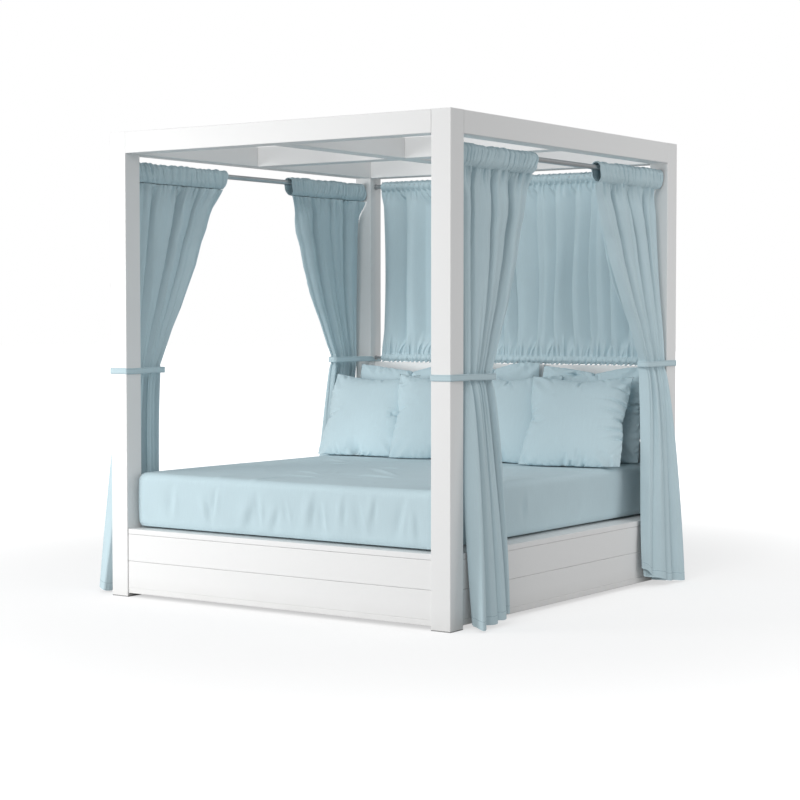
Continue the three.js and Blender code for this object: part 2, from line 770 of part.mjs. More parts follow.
// The gathered header: a sewn pocket round the rod that narrows to its seam below.
function header_geometry() {
  const sides = 8;
  const start = inner_y - rod_flange_thickness - fit_gap - header_start_gap;
  const bore = rod_diameter / 2 + pocket_clearance;
  const outer = bore + pocket_wall;
  const seam_y = -header_drop;
  const outline = (k, radius, seam_half, seam_level) => {
    const angle = Math.PI * (-0.16 + 1.32 * k / (sides - 3));
    if (k <= sides - 3) {
      return [radius * Math.cos(angle), radius * Math.sin(angle)];
    }
    return [k === sides - 2 ? -seam_half : seam_half, seam_level];
  };
  const ring = (i, radius, seam_half, seam_level, ripple) => {
    const share = i / header_rings;
    const swell = 1 + ripple * Math.cos(2 * Math.PI * header_ripples * share) / radius;
    return (k) => {
      const [x, z] = outline(k, radius * swell, seam_half, seam_level);
      const slant_share = THREE.MathUtils.clamp(-z / header_drop, 0, 1);
      const end = header_lead + header_slant * slant_share;
      return [x, THREE.MathUtils.lerp(start, end, share), z];
    };
  };
  const positions = [];
  const index = [];
  for (let i = 0; i <= header_rings; i += 1) {
    const point = ring(i, outer + header_ripple, header_seam_half, seam_y, header_ripple);
    for (let k = 0; k < sides; k += 1) {
      positions.push(...point(k));
    }
  }
  const inner_first = positions.length / 3;
  for (const i of [0, header_rings]) {
    const point = ring(i, bore, pocket_wall / 2, seam_y + 2 * header_seam_half, 0);
    for (let k = 0; k < sides; k += 1) {
      positions.push(...point(k));
    }
  }
  const quad = (a, b, c, d) => index.push(a, b, c, a, c, d);
  for (let k = 0; k < sides; k += 1) {
    const next = (k + 1) % sides;
    for (let i = 0; i < header_rings; i += 1) {
      const a = i * sides;
      quad(a + k, a + next, a + sides + next, a + sides + k);
    }
    const last = header_rings * sides;
    const far = inner_first + sides;
    quad(inner_first + next, inner_first + k, far + k, far + next);
    quad(next, k, inner_first + k, inner_first + next);
    quad(last + k, last + next, far + next, far + k);
  }
  const geometry = new THREE.BufferGeometry();
  geometry.setAttribute('position', new THREE.Float32BufferAttribute(positions, 3));
  geometry.setIndex(index);
  return geometry;
}

// The tie-back: a flat fabric loop round the post and the gathered cloth.
function tie_outline(margin, target) {
  const post_far = frame_depth / 2 + margin;
  const near_x = inner_x - margin;
  const far_x = frame_width / 2 + margin;
  const bundle_in = post_x + gathered_valley - tie_bundle_clearance - margin;
  const bundle_out = post_x + gathered_crest + tie_bundle_clearance + margin;
  const lead = gathered_lead - tie_lead_clearance - margin;
  const radius = tie_end_radius;
  target.moveTo(near_x, post_far);
  target.lineTo(near_x, inner_y - margin);
  target.lineTo(bundle_in, lead + radius);
  target.quadraticCurveTo(bundle_in, lead, (bundle_in + bundle_out) / 2, lead);
  target.quadraticCurveTo(bundle_out, lead, bundle_out, lead + radius);
  target.lineTo(bundle_out, inner_y - radius);
  target.lineTo(far_x, post_far);
  target.closePath();
  return target;
}

function tie_geometry(end) {
  const band = tie_outline(tie_clearance + tie_thickness, new THREE.Shape());
  band.holes.push(tie_outline(tie_clearance, new THREE.Path()));
  const geometry = extruded(band, tie_band);
  geometry.translate(0, 0, tie_height(end) - tie_band / 2);
  if (end === 'foot') {
    return geometry;
  }
  const notch_half = lower_head_flange_diameter / 2 + tie_notch_clearance;
  const notch_section = rectangle(inner_x - post_side / 2, post_y - notch_half,
    inner_x + tie_clearance, post_y + notch_half);
  const notch = extruded(notch_section, tie_band);
  notch.translate(0, 0, lower_head_rod_height - notch_half);
  return to_geometry(to_solid(geometry).subtract(to_solid(notch)));
}

function add_side_curtains() {
  for (const [end, side_y] of foot_head) {
    for (const [hand, side_x] of left_right) {
      const corner = `${end}_${hand}`;
      add_part(`curtain_header_${corner}`, mirrored(header_geometry(), side_x, side_y),
        canopy_cloth, [side_x * post_x, 0, side_rod_height]);
      add_part(`curtain_cloth_${corner}`,
        mirrored(cloth_geometry(tie_height(end)), side_x, side_y), canopy_cloth);
      add_part(`tie_back_${corner}`, mirrored(tie_geometry(end), side_x, side_y), canopy_cloth);
    }
  }
}

// The curtain behind the headboard: one gathered width between two rods, with a pocket round each
// and a short ruffle below the lower one.
function head_sheet(width, top, bottom, rows, belly) {
  const middle = (s, t) => {
    const depth = head_fold * (head_gather_share + belly * Math.sin(Math.PI * t));
    const wave = Math.sin(2 * Math.PI * head_folds * s) * depth;
    return new THREE.Vector3((s - 1 / 2) * width, post_y + wave, THREE.MathUtils.lerp(top, bottom, t));
  };
  return to_solid(sheet_body(head_folds * head_fold_steps, rows, middle, head_sheet_thickness));
}

function head_pocket(width, height, diameter) {
  const bore = diameter / 2 + pocket_clearance;
  const round = (radius, length) => {
    const cylinder = new THREE.CylinderGeometry(radius, radius, length, head_pocket_sides);
    cylinder.rotateZ(Math.PI / 2);
    cylinder.translate(0, post_y, height - head_pocket_settle);
    return to_solid(cylinder);
  };
  return round(bore + pocket_wall, width).subtract(round(bore, width + 2 * cut_overrun));
}

function add_head_curtain() {
  const width = 2 * (inner_x - head_curtain_side_gap);
  const middle_of_wall = (diameter) => diameter / 2 + pocket_clearance + pocket_wall / 2;
  const upper_pocket = upper_head_rod_height - head_pocket_settle;
  const lower_pocket = lower_head_rod_height - head_pocket_settle;
  const top = upper_pocket - middle_of_wall(rod_diameter);
  const bottom = lower_pocket + middle_of_wall(lower_head_rod_diameter);
  const ruffle_top = lower_pocket - middle_of_wall(lower_head_rod_diameter);
  const ruffle_bottom = lower_head_rod_height - head_ruffle_drop;
  const curtain = head_sheet(width, top, bottom, head_rows, 1 - head_gather_share)
    .add(head_sheet(width, ruffle_top, ruffle_bottom, head_ruffle_rows, 0))
    .add(head_pocket(width, upper_head_rod_height, rod_diameter))
    .add(head_pocket(width, lower_head_rod_height, lower_head_rod_diameter));
  add_part('head_curtain', to_geometry(curtain), canopy_cloth);
}

add_posts();
add_glides();
add_canopy();
add_base();
add_deck();
add_headboard();
add_rods();
add_mattress();
add_cushions();
add_side_curtains();
add_head_curtain();

export default daybed;
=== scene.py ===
import math

import bpy
import numpy as np
from mathutils import Euler, Matrix, Vector


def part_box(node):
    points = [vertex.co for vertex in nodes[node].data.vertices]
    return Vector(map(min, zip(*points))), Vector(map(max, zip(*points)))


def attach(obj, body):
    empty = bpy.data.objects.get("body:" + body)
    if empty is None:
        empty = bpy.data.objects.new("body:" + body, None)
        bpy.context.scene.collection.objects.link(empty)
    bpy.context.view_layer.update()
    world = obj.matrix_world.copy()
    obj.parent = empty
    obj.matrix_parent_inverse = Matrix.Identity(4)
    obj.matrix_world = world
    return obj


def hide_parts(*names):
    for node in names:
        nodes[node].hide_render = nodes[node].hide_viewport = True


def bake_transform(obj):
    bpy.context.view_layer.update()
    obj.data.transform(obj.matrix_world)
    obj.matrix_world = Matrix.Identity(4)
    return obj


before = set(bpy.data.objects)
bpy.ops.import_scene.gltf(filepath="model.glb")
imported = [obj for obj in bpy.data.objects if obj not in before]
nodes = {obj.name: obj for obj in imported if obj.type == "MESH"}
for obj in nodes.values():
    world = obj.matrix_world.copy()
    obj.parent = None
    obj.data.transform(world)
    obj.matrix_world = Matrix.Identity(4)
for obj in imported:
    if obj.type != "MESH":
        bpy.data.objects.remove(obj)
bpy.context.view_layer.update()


# Woven outdoor cloth, shared by every textile: a plain weave of round yarns about a millimetre apart,
# with slubs along the yarns, a slow drift of the dye, and painted shade and highlight that follow the
# weave's relief. It works on UV maps that are laid out in metres, and puts out a colour and a normal.
def feed(tree, socket, value):
    """Gives a node's input its value: a number, a colour, or another node's output to link."""
    if isinstance(value, bpy.types.NodeSocket):
        tree.links.new(value, socket)
    else:
        socket.default_value = value


def add_node(tree, kind, inputs, **settings):
    """Adds a node with its settings and feeds its inputs, which go by name or number."""
    node = tree.nodes.new(kind)
    for setting, value in settings.items():
        setattr(node, setting, value)
    for key, value in inputs.items():
        feed(tree, node.inputs[key], value)
    return node


def noise(tree, place, scale, detail=2.0):
    """Adds a noise texture and gives its value."""
    texture = add_node(tree, "ShaderNodeTexNoise", {"Vector": place, "Scale": scale, "Detail": detail})
    return texture.outputs["Fac"]


def calc(tree, operation, *values):
    """Adds a math node and gives its result."""
    return add_node(tree, "ShaderNodeMath", dict(enumerate(values)), operation=operation).outputs[0]


tree = cloth_effect = bpy.data.node_groups.new("woven_cloth", "ShaderNodeTree")
for name, kind, value in [("Vector", "Vector", None), ("Color", "Color", (0.5, 0.6, 0.65, 1)),
                          ("Yarns per metre", "Float", 900.0), ("Relief", "Float", 0.25)]:
    socket = tree.interface.new_socket(name, in_out="INPUT", socket_type="NodeSocket" + kind)
    if value is not None:
        socket.default_value = value
tree.interface.new_socket("Color", in_out="OUTPUT", socket_type="NodeSocketColor")
tree.interface.new_socket("Normal", in_out="OUTPUT", socket_type="NodeSocketVector")
given = add_node(tree, "NodeGroupInput", {}).outputs
yarns = add_node(tree, "ShaderNodeVectorMath", {0: given["Vector"], "Scale": given["Yarns per metre"]},
                 operation="SCALE")
across = add_node(tree, "ShaderNodeSeparateXYZ", {0: yarns.outputs[0]}).outputs
waves = [calc(tree, "SINE", calc(tree, "MULTIPLY", across[axis], math.pi)) for axis in ("X", "Y")]
over_under = calc(tree, "MULTIPLY", *waves)
drawn_out = add_node(tree, "ShaderNodeVectorMath", {0: given["Vector"], 1: (1.0, 0.035, 1.0)},
                     operation="MULTIPLY")
tone = calc(tree, "MULTIPLY_ADD", noise(tree, drawn_out.outputs[0], 420.0), 0.10, 0.90)
tone = calc(tree, "MULTIPLY_ADD", noise(tree, given["Vector"], 5.0, 3.0), 0.10, tone)
# Painted shade and highlight: the weave's hollows are a little darker and its crowns a little lighter.
tone = calc(tree, "MULTIPLY_ADD", over_under, 0.035, tone)
dyed_and_shaded = add_node(tree, "ShaderNodeVectorMath", {0: given["Color"], "Scale": tone}, operation="SCALE")
relief = add_node(tree, "ShaderNodeBump", {"Strength": given["Relief"], "Distance": 0.0004,
                                           "Height": over_under})
add_node(tree, "NodeGroupOutput", {"Color": dyed_and_shaded.outputs[0], "Normal": relief.outputs[0]})


# Pressed hem, shared by curtains and ties: a soft step in the cloth on one side of a line and a row of
# lockstitches along it, given the distance from the line and the place along it in metres. It puts out
# a mask that darkens the stitches and a height for a bump.
tree = hem_effect = bpy.data.node_groups.new("pressed_hem", "ShaderNodeTree")
for name, value in [("Distance", 0.0), ("Along", 0.0), ("Stitch", 0.004), ("Width", 0.0012)]:
    tree.interface.new_socket(name, in_out="INPUT", socket_type="NodeSocketFloat").default_value = value
for name in ("Mask", "Height"):
    tree.interface.new_socket(name, in_out="OUTPUT", socket_type="NodeSocketFloat")
given = add_node(tree, "NodeGroupInput", {}).outputs
near = calc(tree, "COMPARE", given["Distance"], 0.0, given["Width"])
beat = calc(tree, "FRACT", calc(tree, "DIVIDE", given["Along"], given["Stitch"]))
thread_share, half_step = 0.72, 0.0015
stitches = calc(tree, "MULTIPLY", near, calc(tree, "LESS_THAN", beat, thread_share))
step = add_node(tree, "ShaderNodeMapRange", {"Value": given["Distance"], "From Min": -half_step,
                                             "From Max": half_step}, interpolation_type="SMOOTHSTEP")
add_node(tree, "NodeGroupOutput", {"Mask": stitches, "Height": step.outputs["Result"]})


# White frame: aluminium tube and plank sections with a satin powder coat, bolted from inside. Every
# visible edge is softened by the coat, which has a fine orange peel and gathers a little dust low
# down.
def new_material(name, looks):
    """Starts a material and gives its shader the plain values of its looks."""
    material = bpy.data.materials.new(name)
    material.use_nodes = True
    shader = material.node_tree.nodes["Principled BSDF"]
    for label, value in looks.items():
        shader.inputs[label].default_value = value
    return material, material.node_tree, shader


coat, tree, shader = new_material("powder_coat", {"Roughness": 0.42, "Specular IOR Level": 0.4})
place = add_node(tree, "ShaderNodeTexCoord", {}).outputs["Object"]
edge = add_node(tree, "ShaderNodeBevel", {"Radius": 0.0016}, samples=4)
peel = add_node(tree, "ShaderNodeBump", {"Strength": 0.05, "Distance": 0.0002, "Normal": edge.outputs["Normal"],
                                         "Height": noise(tree, place, 420.0, 1.0)})
height = add_node(tree, "ShaderNodeSeparateXYZ", {0: place}).outputs["Z"]
low = add_node(tree, "ShaderNodeMapRange", {"Value": height, "From Min": 0.10, "From Max": 0.0})
dust = calc(tree, "MULTIPLY_ADD", low.outputs["Result"], noise(tree, place, 7.0, 5.0), 0.02)
white_coat, dusty_coat = (0.86, 0.86, 0.855, 1), (0.52, 0.50, 0.46, 1)
paint = add_node(tree, "ShaderNodeMix", {"Factor": calc(tree, "MULTIPLY", dust, 0.35), "A": white_coat,
                                         "B": dusty_coat}, data_type="RGBA")
feed(tree, shader.inputs["Normal"], peel.outputs["Normal"])
feed(tree, shader.inputs["Base Color"], paint.outputs["Result"])
frame_names = ("post_foot", "post_head", "canopy_", "cross_", "deck_", "headboard_")
for name, node in nodes.items():
    if name.startswith(frame_names) or "_plank" in name or name.endswith("_cap_rail"):
        node.data.materials.clear()
        node.data.materials.append(coat)
        node.data.shade_flat()


# Curtain rods: brushed steel tube with a flange at each post. The fine brushing spreads the highlights
# and varies the gloss a little.
steel, tree, shader = new_material("brushed_steel", {"Base Color": (0.56, 0.57, 0.58, 1), "Metallic": 1.0})
place = add_node(tree, "ShaderNodeTexCoord", {}).outputs["Object"]
brush = noise(tree, place, 900.0)
gloss = add_node(tree, "ShaderNodeMapRange", {"Value": brush, "To Min": 0.22, "To Max": 0.38})
scratch = add_node(tree, "ShaderNodeBump", {"Strength": 0.08, "Distance": 0.0001, "Height": brush})
feed(tree, shader.inputs["Roughness"], gloss.outputs["Result"])
feed(tree, shader.inputs["Normal"], scratch.outputs["Normal"])
for name in ("curtain_rod_left", "curtain_rod_right", "head_rod_upper", "head_rod_lower"):
    nodes[name].data.materials.clear()
    nodes[name].data.materials.append(steel)
    nodes[name].data.shade_smooth()
    nodes[name].data.set_sharp_from_angle(angle=math.radians(40))


# Glides: grey moulded plastic plates that close the posts from below. Their moulded grain is fine and
# matt.
plastic, tree, shader = new_material("glide_plastic", {"Base Color": (0.30, 0.30, 0.30, 1)})
place = add_node(tree, "ShaderNodeTexCoord", {}).outputs["Object"]
sheen = add_node(tree, "ShaderNodeMapRange", {"Value": noise(tree, place, 600.0), "To Min": 0.5, "To Max": 0.7})
feed(tree, shader.inputs["Roughness"], sheen.outputs["Result"])
corners = [("foot", "left", -1, -1), ("foot", "right", 1, -1), ("head", "left", -1, 1), ("head", "right", 1, 1)]
for end, hand, side_x, side_y in corners:
    glide = nodes[f"post_glide_{end}_{hand}"]
    glide.data.materials.clear()
    glide.data.materials.append(plastic)
    glide.data.shade_flat()


# Mattress: a foam block in a fitted cover of the curtains' cloth, which lies loose on the deck. The cover
# is drawn tight over the rounded top edge. Its slack makes short upright creases low on the sides, and
# shallow dents and creases on top.
def cloth_material(name):
    """The daybed's cloth, with the weave in its colour and relief."""
    material, tree, shader = new_material(name, {"Roughness": 0.85, "Specular IOR Level": 0.25,
                                                 "Sheen Weight": 0.10, "Sheen Roughness": 0.5})
    place = add_node(tree, "ShaderNodeUVMap", {}, name="place").outputs["UV"]
    weave = add_node(tree, "ShaderNodeGroup", {}, node_tree=cloth_effect, name="weave")
    feed(tree, weave.inputs["Vector"], place)
    feed(tree, weave.inputs["Color"], (0.550, 0.690, 0.740, 1))
    feed(tree, shader.inputs["Base Color"], weave.outputs["Color"])
    feed(tree, shader.inputs["Normal"], weave.outputs["Normal"])
    return material


def lay_flat(mesh, flat, material):
    """Writes each point's place on the cloth laid flat, in metres, as the UV map, and sets the material."""
    loop_points = np.empty(len(mesh.loops), dtype=np.int32)
    mesh.loops.foreach_get("vertex_index", loop_points)
    layer = mesh.uv_layers.new(name="UVMap")
    layer.data.foreach_set("uv", np.array(flat, dtype=np.float32)[loop_points].ravel())
    mesh.shade_smooth()
    mesh.materials.append(material)


def cloth_piece(name, points, faces, flat, material):
    """Makes a piece of cloth and puts it in the scene."""
    mesh = bpy.data.meshes.new(name)
    mesh.from_pydata(points, [], faces)
    lay_flat(mesh, flat, material)
    piece = bpy.data.objects.new(name, mesh)
    scene.collection.objects.link(piece)
    return piece


scene = bpy.context.scene
low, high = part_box("mattress")
centre, half = (low + high) / 2, (high - low) / 2
edge_radius, corner_radius = 0.040, 0.048
pitch = 0.009
counts = [max(2, int(round(2 * h / pitch))) for h in half]
points, faces, uvs = [], [], []
for axis in range(3):
    others = [a for a in range(3) if a != axis]
    for side in (-1, 1):
        under = axis == 2 and side < 0
        a_count, b_count = (24, 24) if under else (counts[others[0]], counts[others[1]])
        first = len(points)
        a_line = np.linspace(-half[others[0]], half[others[0]], a_count + 1)
        b_line = np.linspace(-half[others[1]], half[others[1]], b_count + 1)
        for b in b_line:
            for a in a_line:
                p = [0.0, 0.0, 0.0]
                p[axis], p[others[0]], p[others[1]] = side * half[axis], a, b
                points.append(p)
                uvs.append((a, b))
        flip = (side > 0) != (axis == 1)
        for j in range(b_count):
            for i in range(a_count):
                q = first + j * (a_count + 1) + i
                quad = (q, q + 1, q + a_count + 2, q + a_count + 1)
                faces.append(quad if flip else quad[::-1])
p = np.array(points)
h = np.array(half)
plan = np.clip(p[:, :2], -(h[:2] - corner_radius), h[:2] - corner_radius)
away = p[:, :2] - plan
length = np.linalg.norm(away, axis=1)
reach = np.where(length > 1e-9, np.minimum(1.0, corner_radius / np.maximum(length, 1e-9)), 1.0)
p[:, :2] = plan + away * reach[:, None]
inner_plan = np.clip(p[:, :2], -(h[:2] - corner_radius), h[:2] - corner_radius)
off = p[:, :2] - inner_plan
off_length = np.linalg.norm(off, axis=1)
share_in = np.minimum(off_length, corner_radius - edge_radius) / np.maximum(off_length, 1e-9)
core = inner_plan + off * share_in[:, None]
core = np.column_stack([core, np.clip(p[:, 2], -(h[2] - edge_radius), h[2] - edge_radius)])
out = p - core
out_length = np.maximum(np.linalg.norm(out, axis=1), 1e-9)
normal = out / out_length[:, None]
p = core + normal * np.minimum(out_length, edge_radius)[:, None]
rng = np.random.default_rng(11)
up = (p[:, 2] + h[2]) / (2 * h[2])
round_way = np.where(abs(normal[:, 0]) > abs(normal[:, 1]), p[:, 1], p[:, 0])
side_weight = np.clip(1 - abs(normal[:, 2]) * 1.6, 0, 1)
crease = np.zeros(len(p))
# Creases on the foot side: (place, lean, width, height of the middle, reach up and down, depth).
front_creases = [(-0.74, 0.10, 0.016, 0.50, 0.22, -1.0), (-0.50, -0.18, 0.014, 0.42, 0.20, 0.9),
                 (-0.43, 0.15, 0.010, 0.55, 0.20, -0.9), (-0.22, 0.22, 0.020, 0.38, 0.20, 1.1),
                 (-0.13, -0.10, 0.012, 0.48, 0.22, -1.1), (-0.04, 0.24, 0.016, 0.36, 0.18, 1.0),
                 (0.06, -0.20, 0.010, 0.46, 0.16, -0.8), (0.20, 0.12, 0.018, 0.52, 0.24, 1.2),
                 (0.29, -0.14, 0.012, 0.44, 0.22, -1.2), (0.41, 0.05, 0.012, 0.56, 0.22, 0.9),
                 (0.53, -0.22, 0.016, 0.46, 0.22, -1.1), (0.60, 0.10, 0.012, 0.60, 0.20, 1.0),
                 (0.78, 0.20, 0.014, 0.50, 0.26, -1.0), (0.86, -0.10, 0.012, 0.42, 0.22, 0.9)]
crease_count, dent_count = 44, 30
for number in range(crease_count):
    face = 0 if number < len(front_creases) else 1 + number % 3
    if face == 0:
        at, lean, width, middle, tall, lift = front_creases[number]
    else:
        at, lean, width = rng.uniform(-0.92, 0.92), rng.uniform(-0.25, 0.25), rng.uniform(0.009, 0.018)
        middle, tall, lift = rng.uniform(0.30, 0.60), rng.uniform(0.12, 0.24), rng.uniform(-0.9, 0.9)
    on_face = [normal[:, 1] < -0.5, normal[:, 0] > 0.5, normal[:, 1] > 0.5, normal[:, 0] < -0.5][face]
    x = round_way - at * (h[0] if face % 2 == 0 else h[1]) - lean * (up - middle) * 2 * h[2]
    part = on_face * np.exp(-((up - middle) / tall) ** 2) * lift
    crease += part * (np.exp(-(x / (width * 1.5)) ** 2) - 0.7 * np.exp(-((x - 2.1 * width) / width) ** 2))
slack = 0.0016 * np.sin(round_way * 31 + 3 * np.sin(round_way * 7)) * np.clip(0.75 - up, 0, 1)
p += normal * (side_weight * (0.0066 * crease + slack))[:, None]
top_weight = np.clip(normal[:, 2], 0, 1) ** 2
dents = 0.0022 * np.sin(p[:, 0] * 4.1 + 1.3) * np.sin(p[:, 1] * 3.2 + 0.4)
for number in range(dent_count):
    at_x, at_y = rng.uniform(-0.72, 0.72), rng.uniform(-0.85, 0.35)
    angle = rng.uniform(0, math.pi)
    along = (p[:, 0] - at_x) * math.cos(angle) + (p[:, 1] - at_y) * math.sin(angle)
    across = (p[:, 1] - at_y) * math.cos(angle) - (p[:, 0] - at_x) * math.sin(angle)
    dent = 0.0028 * np.exp(-(along / rng.uniform(0.04, 0.16)) ** 2 - (across / rng.uniform(0.008, 0.022)) ** 2)
    dents += dent * rng.choice([-1, 1], p=[0.4, 0.6])
# Creases that the photograph shows: (x, y, direction, half length, width, height).
top_creases = [(-0.528, 0.182, -0.38, 0.083, 0.014, 0.006),
               (-0.391, 0.028, 0.61, 0.04, 0.012, 0.0046),
               (0.077, -0.258, -0.67, 0.188, 0.015, 0.0072),
               (0.207, -0.489, -0.2, 0.117, 0.014, 0.0066),
               (-0.014, -0.064, -0.17, 0.045, 0.012, 0.0052),
               (-0.149, -0.874, 1.46, 0.11, 0.013, 0.0044),
               (-0.104, -0.672, -0.02, 0.096, 0.013, 0.0048),
               (-0.194, -0.486, -0.4, 0.106, 0.012, 0.004),
               (-0.362, -0.92, 1.4, 0.079, 0.012, 0.0036)]
for at_x, at_y, angle, reach, wide, rise in top_creases:
    along = (p[:, 0] - at_x) * math.cos(angle) + (p[:, 1] - at_y) * math.sin(angle)
    across = (p[:, 1] - at_y) * math.cos(angle) - (p[:, 0] - at_x) * math.sin(angle)
    dents += 1.35 * rise * np.exp(-(along / reach) ** 4 - (across / wide) ** 2)
p[:, 2] += top_weight * (dents - 0.004)
p += normal * (0.004 * np.sin(np.pi * up) * side_weight)[:, None]
# The cover stays flat against the headboard.
p[:, 1] = np.minimum(p[:, 1], h[1] - 0.0008)
piece_points = (p + np.array(centre)).tolist()
mattress = cloth_piece("mattress_cover", piece_points, faces, uvs, cloth_material("mattress_cloth"))
weld = mattress.modifiers.new("weld", "WELD")
weld.merge_threshold = 0.0004
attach(mattress, "mattress")
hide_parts("mattress")


# Scatter cushions: two rows of square knife-edge covers, blown up by their filling. Each one is simulated
# as two flat panels sewn at the rim and inflated. Its corners are drawn out to points, seam puckers and
# creases are added, and its lower edge is pressed flat on the mattress.
def sewn_panels(steps):
    """Two square panels that share their rim: places, each panel's point numbers, faces and used points."""
    line = np.linspace(-1, 1, steps + 1)
    u, v = np.meshgrid(line, line)
    rim = (abs(u) > 0.999) | (abs(v) > 0.999)
    number = np.arange(u.size).reshape(u.shape)
    back_number = np.where(rim, number, number + u.size)
    front = np.stack([number[:-1, :-1], number[:-1, 1:], number[1:, 1:], number[1:, :-1]], axis=-1)
    back = np.stack([back_number[:-1, :-1], back_number[1:, :-1], back_number[1:, 1:], back_number[:-1, 1:]],
                    axis=-1)
    quads = np.stack([front, back], axis=2).reshape(-1, 4)
    used = np.unique(quads)
    renumber = np.full(2 * u.size, -1)
    renumber[used] = np.arange(len(used))
    return u, v, renumber[number], renumber[back_number], renumber[quads], used


cushion_cloth = cloth_material("cushion_cloth")
mattress_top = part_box("mattress")[1].z
front_turns, back_turns = (5, 10, 13, 14), (9, 6, 8)
cushions = [(f"front_cushion_{i + 1}", 0.508, 0.508, 0.136, 31.0, front_turns[i], 5 + i) for i in range(4)]
cushions += [(f"back_cushion_{i + 1}", 0.560, 0.492, 0.130, 9.0, back_turns[i], 15 + i) for i in range(3)]
slouches = {"front_cushion_1": (0.0, -0.034), "front_cushion_2": (0.030, -0.022)}
# Creases that the photograph shows: (u, v, width, length along u, length along v, depth).
shown_creases = {
    "front_cushion_4": [(0.86, 0.36, 0.028, 0.34, 0, 0.011), (0.82, 0.16, 0.030, 0.30, 0, 0.012),
                        (0.88, -0.03, 0.026, 0.26, 0, 0.010), (0.84, -0.20, 0.030, 0.30, 0, 0.012),
                        (0.90, -0.36, 0.026, 0.22, 0, 0.009), (-0.78, -0.90, 0.050, 0, 0.12, 0.010),
                        (-0.10, -0.90, 0.045, 0, 0.14, 0.011), (0.29, -0.88, 0.050, 0, 0.16, 0.012),
                        (0.80, 0.62, 0.024, 0.16, 0, 0.007)],
    "front_cushion_1": [(-0.06, -0.82, 0.10, 0, 0.20, 0.020)],
    "front_cushion_2": [(0.05, -0.82, 0.10, 0, 0.18, 0.018)],
    "front_cushion_3": [(-0.2, -0.84, 0.06, 0, 0.20, 0.014), (0.15, -0.86, 0.05, 0, 0.16, 0.012)],
    "back_cushion_3": [(-0.32, 0.74, 0.035, 0.14, 0, 0.012), (-0.30, 0.76, 0.035, 0, 0.12, 0.012)]}
